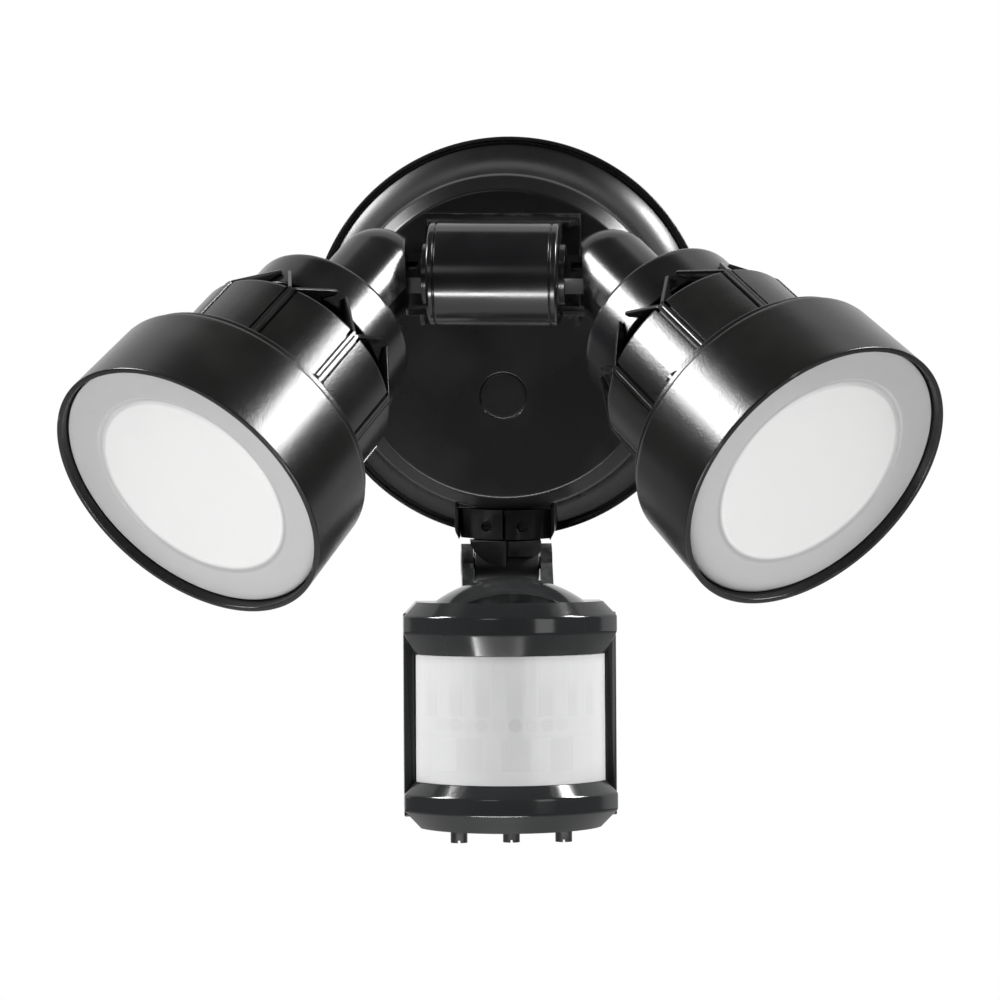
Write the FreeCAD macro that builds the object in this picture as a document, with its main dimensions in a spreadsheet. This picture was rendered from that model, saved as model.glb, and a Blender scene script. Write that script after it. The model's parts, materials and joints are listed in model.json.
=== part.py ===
import FreeCAD, Part
import math
import os
import re
import Sketcher

# Wall light with two swivelling lamp heads and a motion sensor.
# Frame: the wall is the plane Y = 0, the front faces -Y, +Z is up, the origin is the centre
# of the gasket's back face. Lengths are millimetres, angles are degrees.

Vector = FreeCAD.Vector

DIMENSIONS = [
    # canopy, which covers a round junction box
    ("canopy_radius", 63.5, "outer radius of the round wall canopy"),
    ("canopy_depth", 27.5, "wall to the canopy's flat front disc"),
    ("canopy_wall", 2.2, "thickness of the canopy shell"),
    ("disc_radius", 48, "radius of the flat front disc"),
    ("band_radius", 52, "outer radius of the chamfer around the disc"),
    ("band_height", 4, "depth of that chamfer"),
    ("flare_radius", 22, "radius of the concave flange"),
    ("gasket_thickness", 2, "foam gasket between wall and canopy"),
    ("plug_radius", 7.25, "round plug over the mounting bolt"),
    ("plug_drop", 16, "plug centre below the canopy centre"),
    ("bolt_shank", 2.1, "radius of the mounting bolt"),
    ("box_spacing", 88.9, "distance of the junction box screws"),
    ("box_hole", 2.3, "radius of the crossbar's screw holes"),
    ("bar_half_width", 9, "half of the crossbar's width"),
    ("bar_thickness", 1.6, "thickness of the crossbar"),
    ("board_height", 8, "wall to the driver board"),
    ("board_thickness", 1.6, "thickness of the circuit boards"),
    ("post_side", 28, "driver board's posts beside the middle"),
    ("post_up", 30, "driver board's posts above the canopy centre"),
    ("connector_radius", 6, "radius of a wire connector's open end"),
    ("connector_length", 20, "length of a wire connector"),
    ("connector_drop", 8, "wire connectors below the canopy centre"),
    ("connector_out", 11, "wall to the middle of the wire connectors"),
    ("earth_side", 4, "earth screw beside the middle"),
    ("earth_up", 22, "earth screw above the canopy centre"),
    # lamp block with the barrel, which carries both lamps
    ("axis_out", 60, "wall to the lamps' tilt axis"),
    ("axis_up", 24, "height of the tilt axis above the canopy centre"),
    ("barrel_radius", 15.3, "outer radius of the barrel cover"),
    ("barrel_half", 19.3, "half of the barrel's length"),
    ("barrel_wall", 1.8, "thickness of the barrel cover"),
    ("core_half", 18.2, "half of the core's length under the cover"),
    ("core_wall", 3.8, "thickness of the core's bearing walls"),
    ("leg_back", 14, "length of the cover's legs behind the tilt axis"),
    ("base_half", 24, "half of the block's width on the canopy"),
    ("base_plate", 4, "thickness of the block's foot"),
    ("shelf_half", 28, "half of the lower shelf's width"),
    ("shelf_out", 49, "wall to the front edge of the lower shelf"),
    ("screw_side", 20.5, "block screws beside the middle"),
    ("screw_low", 8.5, "lower block screws below the tilt axis"),
    ("screw_high", 12, "upper block screws above the tilt axis"),
    # lamp head, measured along its own axis from the elbow's ball centre
    ("ball_offset", 35, "ball centre to the middle of the barrel"),
    ("elbow_radius", 13.5, "radius of the elbow and its domed end"),
    ("flat_distance", 8.7, "ball centre to the elbow's inner flat"),
    ("flat_angle", 29.5, "splay at which that flat faces the barrel squarely"),
    ("collar_rear", 27, "start of the collar"),
    ("collar_front", 42, "end of the collar"),
    ("collar_radius", 26.3, "outer radius of the collar"),
    ("neck_radius", 22.8, "radius of the housing's neck inside the ribs"),
    ("sleeve_rear", 48.5, "start of the ribbed sleeve"),
    ("sleeve_radius", 32.4, "outer radius of the sleeve"),
    ("rib_width", 2.8, "width of a cooling rib"),
    ("rib_height", 0.3, "rib above the sleeve"),
    ("fin_half", 0.5, "half thickness of the two fins in which a rib ends"),
    ("fin_spread", 31.5, "angle of a fin to its rib"),
    ("fin_length", 13.4, "length of a fin from the sleeve's edge"),
    ("rib_count", 9, "cooling ribs around the sleeve"),
    ("rib_start", 94, "angle of the first rib"),
    ("drum_rear", 79, "start of the drum"),
    ("drum_rear_radius", 42.1, "drum radius at its rear edge"),
    ("rim_reach", 106.5, "ball centre to the drum's rim"),
    ("rim_radius", 43, "drum radius at its rim"),
    ("lip_width", 1.6, "wall of the drum at its rim"),
    ("boss_circle", 36.8, "radius of the circle of housing screws"),
    ("collar_screw_circle", 17.5, "radius of the circle of elbow screws"),
    ("diffuser_recess", 2.8, "rim to the face of the diffuser"),
    ("diffuser_radius", 40.9, "radius of the opal diffuser"),
    ("window_radius", 30.2, "radius of its bright middle"),
    # tilt hub between block and elbow
    ("hub_shaft", 6, "radius of the hub's shaft"),
    ("running_gap", 0.05, "radial clearance of the shafts and pins"),
    ("hub_flange", 9, "radius of the hub's flange"),
    ("tongue_half", 3, "half thickness of the hub's tongue"),
    ("tongue_reach", 5.5, "radius of the tongue's end about the pin"),
    ("pin_radius", 2.5, "radius of the pivot pin"),
    ("pin_half", 8, "half length of the pivot pin"),
    # pose of the lamps in use
    ("tilt_rest", 35.4, "lamps below the horizontal"),
    ("splay_left", 24.8, "left lamp outwards"),
    ("splay_right", 34.3, "right lamp outwards"),
    ("splay_least", 6, "smallest splay that the elbow's slot allows"),
    ("splay_most", 62, "largest splay that the elbow's slot allows"),
    # swivel of the sensor at the canopy's lower edge
    ("swivel_out", 15, "wall to the swivel axis"),
    ("swivel_drop", 62, "lower face of the collar below the canopy centre"),
    ("socket_half", 15.7, "half width of the socket on the canopy"),
    ("clamp_half", 14, "half width of the two clamp halves"),
    ("clamp_top", 52.4, "top of the clamp below the canopy centre"),
    ("clamp_front", 23.5, "wall to the clamp's curved front"),
    ("clamp_screw_side", 5.6, "clamp screws beside the middle"),
    ("clamp_screw_up", 4.3, "clamp screws above the clamp's lower face"),
    ("clamp_screw_deep", 4, "seat of the clamp screws behind the curved front"),
    ("post_radius", 4, "radius of the swivel post"),
    ("post_head", 6.4, "radius of the post's retaining head"),
    ("knuckle_half", 10.2, "half width of the knuckle"),
    ("tilt_drop", 8.5, "tilt axis below the clamp"),
    ("tilt_bolt_radius", 2, "radius of the tilt bolt"),
    ("swivel_rest", 7.1, "sensor turned towards +X"),
    ("sensor_tilt_rest", 8.3, "sensor face turned up"),
    # sensor housing, measured from its tilt axis
    ("sensor_half", 33, "half width of the sensor"),
    ("sensor_top", 11.6, "housing top below the tilt axis"),
    ("sensor_bottom", 81.5, "housing bottom below the tilt axis"),
    ("sensor_back", 4, "tilt axis to the back of the housing"),
    ("sensor_split", 17, "tilt axis to the joint of the two shells"),
    ("sensor_side", 26, "tilt axis to the end of the straight sides"),
    ("sensor_bulge", 20, "rise of the curved front"),
    ("sensor_wall", 2.2, "thickness of the sensor's shells"),
    ("brow_chamfer", 4.4, "height of the chamfer above the upper band"),
    ("brow_inset", 4.1, "depth of that chamfer"),
    ("brow_bevel", 6.6, "height of the upper bevel towards the window"),
    ("foot_chamfer", 5.6, "height of the chamfer below the lower band"),
    ("foot_inset", 5.1, "depth of that chamfer"),
    ("foot_bevel", 3.8, "height of the lower bevel towards the window"),
    ("band_face", 5, "height of the bands' faces"),
    ("waist_inset", 3.5, "window below the bands' faces"),
    ("arm_gap", 10.6, "inner face of a fork arm from the middle"),
    ("arm_outer", 14.3, "outer face of a fork arm from the middle"),
    ("arm_radius", 6.2, "radius of a fork arm's end"),
    ("bolt_seat", 1.9, "seats of the tilt bolt's head and nut below the arms' faces"),
    ("dome_radius", 23.3, "radius of the cap on the sensor"),
    ("dome_height", 7.6, "height of that cap"),
    ("dome_middle", 21.5, "tilt axis to the middle of that cap"),
    ("dome_trim", 18.5, "middle of that cap to its trimmed front"),
    ("shell_screw_side", 22, "shell screws beside the middle"),
    ("knob_radius", 2.6, "radius of an adjuster"),
    ("knob_pitch", 16.2, "distance of the adjusters"),
    ("knob_depth", 23.5, "tilt axis to the adjusters"),
    ("knob_proud", 4.4, "adjuster below the housing"),
]

# x, y, width, height and rise of the parts on the driver board
DRIVER_PARTS = [
    (-22, 16, 14, 14, 11),
    (-4, 15, 9, 16, 9),
    (10, 18, 11, 8, 7),
    (24, 13, 6, 11, 8),
    (-12, 33, 22, 8, 5),
]

# wire connectors beside the middle of the canopy
CONNECTOR_SIDES = (-31, -16.5, 22)

doc = FreeCAD.newDocument("SecurityLight")
dims = doc.addObject("Spreadsheet::Sheet", "Dims")
for row, (alias, size, meaning) in enumerate(DIMENSIONS, start=1):
    dims.set(f"A{row}", alias)
    dims.set(f"B{row}", str(size))
    dims.set(f"C{row}", meaning)
    dims.setAlias(f"B{row}", alias)
doc.recompute()
ALIASES = {alias for alias, _, _ in DIMENSIONS}

subparts = []


# ---------------------------------------------------------------- helpers

def number(text):
    """Value of an expression of the sheet's names."""
    return float(dims.evalExpression(str(text)))


def linked(text):
    """The same expression with the sheet's name before each alias."""
    def with_sheet(match):
        word = match.group(0)
        return "Dims." + word if word in ALIASES else word
    return re.sub(r"[a-z]+(?:_[a-z]+)+", with_sheet, str(text))


def new_body(label, frame):
    body = doc.addObject("PartDesign::Body", label)
    body.Label = label
    body.Placement = frame
    subparts.append(body)
    return body


def new_sketch(body, plane, lift):
    """Empty sketch on the body's own plane, lifted along the plane's normal."""
    sketch = body.newObject("Sketcher::SketchObject", "outline")
    support = [item for item in body.Origin.OriginFeatures if item.Role == plane][0]
    sketch.AttachmentSupport = [(support, "")]
    sketch.MapMode = "FlatFace"
    sketch.setExpression("AttachmentOffset.Base.z", linked(lift))
    return sketch


def fix_point(sketch, geometry, end, x, y):
    for kind, text in (("DistanceX", x), ("DistanceY", y)):
        place = Sketcher.Constraint(kind, -1, 1, geometry, end, number(text))
        sketch.setExpression(f"Constraints[{sketch.addConstraint(place)}]", linked(text))


def draw_outline(sketch, corners):
    """Closed outline through corners (x, y) or (x, y, radius).

    A radius makes the edge that leaves the corner an arc: positive with its centre on the
    left of the way to the next corner, negative with its centre on the right.
    """
    base = sketch.GeometryCount
    count = len(corners)
    heads = []
    tails = []
    for index, corner in enumerate(corners):
        following = corners[(index + 1) % count]
        first = Vector(number(corner[0]), number(corner[1]), 0)
        last = Vector(number(following[0]), number(following[1]), 0)
        if len(corner) == 2:
            sketch.addGeometry(Part.LineSegment(first, last))
            heads.append(1)
            tails.append(2)
            continue
        radius = number(corner[2])
        chord = last - first
        left = Vector(-chord.y, chord.x, 0).normalize()
        rise = math.sqrt(max(radius ** 2 - (chord.Length / 2) ** 2, 0))
        centre = (first + last) * 0.5 + left * math.copysign(rise, radius)
        start, end = (first, last) if radius > 0 else (last, first)
        angles = [math.atan2(point.y - centre.y, point.x - centre.x) for point in (start, end)]
        circle = Part.Circle(centre, Vector(0, 0, 1), abs(radius))
        sketch.addGeometry(Part.ArcOfCircle(circle, angles[0], angles[1]))
        heads.append(1 if radius > 0 else 2)
        tails.append(2 if radius > 0 else 1)
    for index in range(count):
        after = (index + 1) % count
        join = (base + index, tails[index], base + after, heads[after])
        sketch.addConstraint(Sketcher.Constraint("Coincident", *join))
    for index, corner in enumerate(corners):
        fix_point(sketch, base + index, heads[index], corner[0], corner[1])
        if len(corner) == 3:
            size = Sketcher.Constraint("Radius", base + index, abs(number(corner[2])))
            where = sketch.addConstraint(size)
            sketch.setExpression(f"Constraints[{where}]", f"abs({linked(corner[2])})")


def draw_circle(sketch, x, y, radius):
    centre = Vector(number(x), number(y), 0)
    index = sketch.addGeometry(Part.Circle(centre, Vector(0, 0, 1), number(radius)))
    fix_point(sketch, index, 3, x, y)
    size = sketch.addConstraint(Sketcher.Constraint("Radius", index, number(radius)))
    sketch.setExpression(f"Constraints[{size}]", linked(radius))


def draw(sketch, shapes):
    """Draw outlines (lists of corners) and circles (x, y, radius) into one sketch."""
    for shape in shapes:
        if isinstance(shape, list):
            draw_outline(sketch, shape)
        else:
            draw_circle(sketch, *shape)


def extrude(body, kind, plane, shapes, length, lift="0", midplane=False, flip=False):
    """Pad or Pocket of a sketch, checked to change the volume."""
    sketch = new_sketch(body, plane, lift)
    draw(sketch, shapes)
    before = body.Shape.Volume if body.Tip else 0
    feature = body.newObject(f"PartDesign::{kind}", kind)
    feature.Profile = sketch
    feature.setExpression("Length", linked(length))
    feature.Midplane = midplane
    feature.Reversed = flip
    doc.recompute()
    if abs(body.Shape.Volume - before) < 1e-3:
        raise ValueError(f"{body.Label}: {kind} changes nothing")
    return feature


def pad(body, plane, shapes, length, lift="0", midplane=False, flip=False):
    return extrude(body, "Pad", plane, shapes, length, lift, midplane, flip)


def pocket(body, plane, shapes, length, lift="0", midplane=False, flip=False):
    return extrude(body, "Pocket", plane, shapes, length, lift, midplane, flip)


def turn(body, corners):
    """Full turn of an outline (radius, height) about the body's own axis."""
    sketch = new_sketch(body, "XZ_Plane", "0")
    draw_outline(sketch, corners)
    feature = body.newObject("PartDesign::Revolution", "turned")
    feature.Profile = sketch
    feature.ReferenceAxis = (sketch, ["V_Axis"])
    feature.Angle = 360
    doc.recompute()
    return feature


def polar(body, features, count):
    """Repeat features around the body's own axis."""
    axis = [item for item in body.Origin.OriginFeatures if item.Role == "Z_Axis"][0]
    pattern = body.newObject("PartDesign::PolarPattern", "pattern")
    pattern.Originals = features
    pattern.Axis = (axis, [""])
    pattern.Angle = 360
    pattern.setExpression("Occurrences", linked(count))
    body.Tip = pattern
    doc.recompute()
    return pattern


def place_sketch(feature, offset):
    """Turn and move the sketch of a feature on its plane."""
    sketch = feature.Profile[0]
    sketch.setExpression("AttachmentOffset.Base.z", None)
    sketch.AttachmentOffset = offset


def soften(body, radius, chosen):
    """Fillet the edges for which chosen(edge) is true."""
    base = body.Tip
    names = [f"Edge{i + 1}" for i, edge in enumerate(base.Shape.Edges) if chosen(edge)]
    if not names:
        raise ValueError(f"{body.Label}: no edge to soften")
    fillet = body.newObject("PartDesign::Fillet", "fillet")
    fillet.Base = (base, names)
    fillet.setExpression("Radius", linked(radius))
    doc.recompute()
    return fillet


def rectangle(x_low, y_low, x_high, y_high):
    return [(x_low, y_low), (x_high, y_low), (x_high, y_high), (x_low, y_high)]


def hexagon(x, y, radius):
    """Corners of a nut, radius measured to the corners."""
    return [(f"{x} + {radius} * cos({60 * step}deg)", f"{y} + {radius} * sin({60 * step}deg)")
            for step in range(6)]


def cylinder(name, radius, length, base, axis):
    """Plain cylinder with bound sizes, from base along axis, in its group's frame."""
    rod = doc.addObject("Part::Cylinder", name)
    rod.setExpression("Radius", linked(radius))
    rod.setExpression("Height", linked(length))
    rod.Placement = FreeCAD.Placement(base, FreeCAD.Rotation(Vector(0, 0, 1), axis))
    return rod


def group(label, frame, members):
    """Identical pieces as one node of separate solids."""
    together = doc.addObject("Part::Compound", label)
    together.Label = label
    together.Links = members
    together.Placement = frame
    subparts.append(together)
    return together


def screws(label, frame, spots, axis, head, head_height, shank, length):
    """Pan-head screws: at each spot the head sits before the spot, the shank goes on behind it."""
    made = []
    slot_half = 0.45
    for spot in spots:
        top = cylinder(label + "_head", head, head_height, spot - axis * number(head_height), axis)
        rod = cylinder(label + "_shank", shank, length, spot, axis)
        whole = doc.addObject("Part::Fuse", label + "_screw")
        whole.Base = top
        whole.Tool = rod
        drive = doc.addObject("Part::Box", label + "_slot")
        drive.setExpression("Length", linked(f"2 * ({head})"))
        drive.Width = 2 * slot_half
        drive.setExpression("Height", linked(f"({head_height}) * 0.5"))
        turned = FreeCAD.Rotation(Vector(0, 0, 1), axis)
        corner = turned.multVec(Vector(-number(head), -slot_half, 0))
        drive.Placement = FreeCAD.Placement(spot - axis * number(head_height) + corner, turned)
        slotted = doc.addObject("Part::Cut", label + "_slotted")
        slotted.Base = whole
        slotted.Tool = drive
        made.append(slotted)
    doc.recompute()
    return group(label, frame, made)


# ---------------------------------------------------------------- frames

def axes_frame(origin, x_axis, z_axis):
    return FreeCAD.Placement(origin, FreeCAD.Rotation(x_axis, z_axis.cross(x_axis), z_axis, "XZY"))


RIGHT = Vector(1, 0, 0)
UP = Vector(0, 1, 0)
OUT = Vector(0, 0, 1)

# Wall frame: x right, y up, z out of the wall.
WALL = FreeCAD.Placement(Vector(0, 0, 0), FreeCAD.Rotation(Vector(1, 0, 0), 90))


def hub_frame(side):
    """At the ball centre: x away from the barrel, z along an unsplayed lamp."""
    tilt = math.radians(number("tilt_rest"))
    origin = Vector(side * number("ball_offset"), -number("axis_out"), number("axis_up"))
    return axes_frame(origin, Vector(side, 0, 0), Vector(0, -math.cos(tilt), -math.sin(tilt)))


def head_frame(side):
    """At the ball centre: z along the lamp towards its rim."""
    splay = number("splay_right" if side > 0 else "splay_left")
    return hub_frame(side) * FreeCAD.Placement(Vector(), FreeCAD.Rotation(Vector(0, 1, 0), splay))


def swivel_frame():
    """On the swivel axis at the clamp's lower face: y up, z out of the wall."""
    origin = Vector(0, -number("swivel_out"), -number("swivel_drop"))
    turned = FreeCAD.Rotation(Vector(0, 0, 1), number("swivel_rest"))
    return FreeCAD.Placement(origin, turned * FreeCAD.Rotation(Vector(1, 0, 0), 90))


def sensor_frame():
    """On the sensor's tilt axis: x along the axis, z out of the sensor's face."""
    down = FreeCAD.Placement(Vector(0, -number("tilt_drop"), 0), FreeCAD.Rotation())
    tilted = FreeCAD.Rotation(Vector(1, 0, 0), -number("sensor_tilt_rest"))
    return swivel_frame() * down * FreeCAD.Placement(Vector(), tilted)


# ---------------------------------------------------------------- canopy and wall fixing

def wall_gasket():
    body = new_body("wall_gasket", WALL)
    turn(body, rectangle("canopy_radius - 9.5", "0", "canopy_radius - 2", "gasket_thickness"))


def canopy_cover():
    body = new_body("canopy_cover", WALL)
    back = "gasket_thickness"
    front = "canopy_depth"
    inside = "canopy_depth - canopy_wall"
    band = "canopy_depth - band_height"
    turn(body, [
        ("0", front), ("0", inside),
        ("disc_radius - 0.9", inside), ("band_radius - canopy_wall", "canopy_depth - band_height - 1.2"),
        ("band_radius - canopy_wall + 0.4", "canopy_depth - band_height - 3"),
        ("band_radius - 1", "canopy_depth - 13.9"), ("band_radius + 1.7", "gasket_thickness + 5.3"),
        ("canopy_radius - 5.5", back), ("canopy_radius", back), ("canopy_radius", "gasket_thickness + 2.6"),
        ("canopy_radius - 1.3", "gasket_thickness + 2.6"), ("canopy_radius - 1.3", "gasket_thickness + 1.9"),
        ("canopy_radius - 2.1", "gasket_thickness + 1.9", "-flare_radius"),
        ("band_radius + 0.4", "canopy_depth - band_height - 1"), ("band_radius", band),
        ("disc_radius", front),
    ])
    # cup for the mounting bolt, and the socket for the sensor's swivel
    cup_floor = "canopy_depth - 6.4"
    pad(body, "XY_Plane", [("0", "-plug_drop", "plug_radius + 2")], "canopy_wall + 2.2", cup_floor)
    socket = [
        ("-socket_half + 2", "-swivel_drop"), ("socket_half - 2", "-swivel_drop", "2"),
        ("socket_half", "-swivel_drop + 2"), ("socket_half", "-clamp_top + 2.2"),
        ("-socket_half", "-clamp_top + 2.2"), ("-socket_half", "-swivel_drop + 2", "2"),
    ]
    pad(body, "XY_Plane", [socket], "clamp_front - 3.5", "gasket_thickness")
    room = rectangle("-clamp_half - 0.3", "-canopy_radius - 6", "clamp_half + 0.3", "-clamp_top + 0.2")
    pocket(body, "XY_Plane", [room], "canopy_depth", "8 + canopy_depth")
    pocket(body, "XY_Plane", [("0", "-plug_drop", "plug_radius + running_gap")], "4.6", front)
    pocket(body, "XY_Plane", [("0", "-plug_drop", "bolt_shank + 0.15")], "canopy_depth", front)
    pocket(body, "XY_Plane", [("0", "axis_up", "8")], "canopy_wall + 1", front)
    pocket(body, "XY_Plane", [(x, y, "1.6") for x, y in block_screw_spots()], "canopy_wall + 1", front)
    holes = [(x, "-swivel_drop + clamp_screw_up", "0.8") for x in clamp_screw_sides()]
    pocket(body, "XY_Plane", holes, "5", "8.5")
    # the sensor's wires pass from the swivel post into the canopy
    pocket(body, "XZ_Plane", [("0", "swivel_out", "2")], "4", "clamp_top + 0.5")


def block_screw_spots():
    """The four screws between canopy and lamp block, as expressions."""
    return [(x, y) for x in ("-screw_side", "screw_side")
            for y in ("axis_up - screw_low", "axis_up + screw_high")]


def clamp_screw_sides():
    return ("-clamp_screw_side", "clamp_screw_side")


def hole_plug():
    centre = Vector(0, -number("plug_drop"), 0)
    body = new_body("hole_plug", WALL * FreeCAD.Placement(centre, FreeCAD.Rotation()))
    top = "canopy_depth - 0.15"
    turn(body, [
        ("0", "canopy_depth - 2"), ("plug_radius - 1.6", "canopy_depth - 2"),
        ("plug_radius - 1.6", "canopy_depth - 4.2"), ("plug_radius - 0.7", "canopy_depth - 4.2"),
        ("plug_radius - 0.7", "canopy_depth - 2"), ("plug_radius", "canopy_depth - 2"),
        ("plug_radius", "canopy_depth - 0.6"), ("plug_radius - 0.45", top), ("0", top),
    ])


def canopy_bolt():
    seat = Vector(0, -number("plug_drop"), number("canopy_depth - 4.6"))
    screws("canopy_bolt", WALL, [seat], -OUT, "4.3", "2.2", "bolt_shank", "canopy_depth - 5.2")


def crossbar_bracket():
    body = new_body("crossbar_bracket", WALL)
    bar = rectangle("-bar_half_width", "-box_spacing / 2 - 5", "bar_half_width", "box_spacing / 2 + 5")
    pad(body, "XY_Plane", [bar], "bar_thickness")
    soften(body, "3", lambda edge: abs(edge.tangentAt(edge.FirstParameter).z) > 0.9)
    holes = [("0", "box_spacing / 2", "box_hole"), ("0", "-box_spacing / 2", "box_hole"),
             ("0", "-plug_drop", "bolt_shank"), ("earth_side", "earth_up", "1.9"), ("0", "0", "5")]
    pocket(body, "XY_Plane", holes, "bar_thickness", "bar_thickness")
    # folded edges stiffen the middle of the bar
    for x in ("-bar_half_width", "bar_half_width - 1.2"):
        fold = rectangle(x, "-26", f"{x} + 1.2", "34")
        pad(body, "XY_Plane", [fold], "4", "bar_thickness - 0.2")


def ground_screw():
    seat = Vector(number("earth_side"), number("earth_up"), number("bar_thickness"))
    screws("ground_screw", WALL, [seat], -OUT, "3.2", "2", "1.9", "bar_thickness")


# ---------------------------------------------------------------- lamp block

def barrel_outline(radius, back):
    """Side view (y up, z out): half circle about the tilt axis with straight legs to the wall."""
    low = f"axis_up - ({radius})"
    high = f"axis_up + ({radius})"
    return [(low, back), (high, back), (high, "axis_out", radius),
            ("axis_up", f"axis_out + ({radius})", radius), (low, "axis_out")]


def lamp_block():
    body = new_body("lamp_block", WALL)
    foot = rectangle("-base_half", "axis_up - barrel_radius", "base_half", "axis_up + 16.6")
    pad(body, "XY_Plane", [foot], "base_plate", "canopy_depth")
    core = "barrel_radius - barrel_wall - 0.2"
    pad(body, "YZ_Plane", [barrel_outline(core, "canopy_depth")], "2 * core_half", "0", True)
    roof_front = "axis_out - leg_back - 0.1"
    roof = [("-base_half", "canopy_depth"), ("base_half", "canopy_depth"),
            ("base_half - 2.6", roof_front), ("-base_half + 2.6", roof_front)]
    pad(body, "XZ_Plane", [roof], "1.6", "-axis_up - 13.3", False, True)
    notch = "barrel_half + 0.3"
    notch_back = "axis_out - leg_back - 0.3"
    shelf = [("-shelf_half", "canopy_depth"), ("shelf_half", "canopy_depth"),
             ("shelf_half", "shelf_out - 2", "2"), ("shelf_half - 2", "shelf_out"),
             (notch, "shelf_out"), (notch, notch_back), (f"-({notch})", notch_back),
             (f"-({notch})", "shelf_out"), ("-shelf_half + 2", "shelf_out", "2"),
             ("-shelf_half", "shelf_out - 2")]
    pad(body, "XZ_Plane", [shelf], "1.6", "-axis_up + 13.3", False, True)
    for x in ("-base_half - 0.2", "base_half - 1.2"):
        rib = [("axis_up - 17", "canopy_depth"), ("axis_up - 13.2", "canopy_depth"),
               ("axis_up - 13.2", "canopy_depth + 17"), ("axis_up - 17", "canopy_depth + 13")]
        pad(body, "YZ_Plane", [rib], "1.4", x)
    hollow = barrel_outline("barrel_radius - barrel_wall - 2.2", "canopy_depth")
    pocket(body, "YZ_Plane", [hollow], "2 * (core_half - core_wall)", "0", True)
    bearing = ("axis_up", "axis_out", "hub_shaft + running_gap")
    pocket(body, "YZ_Plane", [bearing], "3 * core_half", "0", True)
    holes = [(x, y, "1.25") for x, y in block_screw_spots()]
    pocket(body, "XY_Plane", holes, "base_plate", "canopy_depth + base_plate - 0.8")


def barrel_cover():
    body = new_body("barrel_cover", WALL)
    back = "axis_out - leg_back"
    pad(body, "YZ_Plane", [barrel_outline("barrel_radius", back)], "2 * barrel_half", "0", True)
    soften(body, "0.8", lambda edge: abs(abs(edge.CenterOfMass.x) - number("barrel_half")) < 1e-3)
    inside = barrel_outline("barrel_radius - barrel_wall", "axis_out - leg_back - 2")
    pocket(body, "YZ_Plane", [inside], "2 * core_half + 0.2", "0", True)
    opening = ("axis_up", "axis_out", "hub_flange + 0.6")
    pocket(body, "YZ_Plane", [opening], "3 * barrel_half", "0", True)
    slot = barrel_outline("hub_flange + 0.6", "axis_out - leg_back - 2")
    pocket(body, "YZ_Plane", [slot], "3 * barrel_half", "0", True)
    # a fine groove sets off a bead at each end
    ring = [barrel_outline("barrel_radius + 3", "axis_out - leg_back - 2"),
            barrel_outline("barrel_radius - 0.4", "axis_out - leg_back - 1")]
    for x in ("-barrel_half + 1.9", "barrel_half - 2.4"):
        pocket(body, "YZ_Plane", ring, "0.5", x, False, True)


def block_screws():
    inside = number("canopy_depth - canopy_wall")
    seats = [Vector(number(x), number(y), inside) for x, y in block_screw_spots()]
    screws("block_screws", WALL, seats, OUT, "2.8", "1.8", "1.25", "canopy_wall + 3.2")


# ---------------------------------------------------------------- power inside the canopy

def driver_board():
    body = new_body("driver_board", WALL)
    board = [("-34", "12"), ("34", "12"), ("34", "34"), ("25", "44"), ("-25", "44"), ("-34", "34")]
    pad(body, "XY_Plane", [board], "board_thickness", "board_height")
    for x, y, width, height, rise in DRIVER_PARTS:
        block = rectangle(x, y, x + width, y + height)
        pad(body, "XY_Plane", [block], rise, "board_height + board_thickness - 0.1")
    holes = [(x, "post_up", "1.7") for x in ("-post_side", "post_side")]
    pocket(body, "XY_Plane", holes, "4", "board_height + 2")


def board_posts():
    top = number("canopy_depth - canopy_wall")
    low = number("board_height + board_thickness")
    members = []
    for x in ("-post_side", "post_side"):
        foot = Vector(number(x), number("post_up"), low)
        post = cylinder("board_post", "3", top - low, foot, OUT)
        pin = cylinder("board_pin", "1.6", "3.2", foot - OUT * 2.4, OUT)
        whole = doc.addObject("Part::Fuse", "post_and_pin")
        whole.Base = post
        whole.Tool = pin
        members.append(whole)
    doc.recompute()
    group("board_posts", WALL, members)


def wire_connectors():
    members = []
    for x in CONNECTOR_SIDES:
        cap = doc.addObject("Part::Cone", "connector_cap")
        cap.setExpression("Radius1", linked("connector_radius"))
        cap.setExpression("Radius2", linked("connector_radius * 0.6"))
        cap.setExpression("Height", linked("connector_length"))
        base = Vector(x, -number("connector_drop"), number("connector_out"))
        cap.Placement = FreeCAD.Placement(base, FreeCAD.Rotation(OUT, -UP))
        members.append(cap)
    doc.recompute()
    group("wire_connectors", WALL, members)


# ---------------------------------------------------------------- tilt hubs

def tilt_hub(name, side):
    body = new_body(f"{name}_tilt_hub", hub_frame(side))
    end = "-ball_offset + core_half - core_wall - 5"
    shoulder = "-ball_offset + barrel_half + 0.3"
    pad(body, "YZ_Plane", [("0", "0", "hub_shaft")], f"({shoulder}) + 1.6 - ({end})", end)
    pad(body, "YZ_Plane", [("0", "0", "hub_flange")], "1.6", shoulder)
    tongue = [("-14.6", "-tongue_reach"), ("0", "-tongue_reach", "tongue_reach"),
              ("tongue_reach", "0", "tongue_reach"), ("0", "tongue_reach"), ("-14.6", "tongue_reach")]
    pad(body, "XZ_Plane", [tongue], "2 * tongue_half", "0", True)
    pocket(body, "XZ_Plane", [("0", "0", "pin_radius + running_gap")], "4 * tongue_half", "0", True)
    # wire channel, which leaves the tongue at its sides
    pocket(body, "YZ_Plane", [("0", "0", "2.2")], "ball_offset", "-9")
    pocket(body, "XZ_Plane", [rectangle("-12", "-2", "-7.5", "2")], "4 * tongue_half", "0", True)


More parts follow.
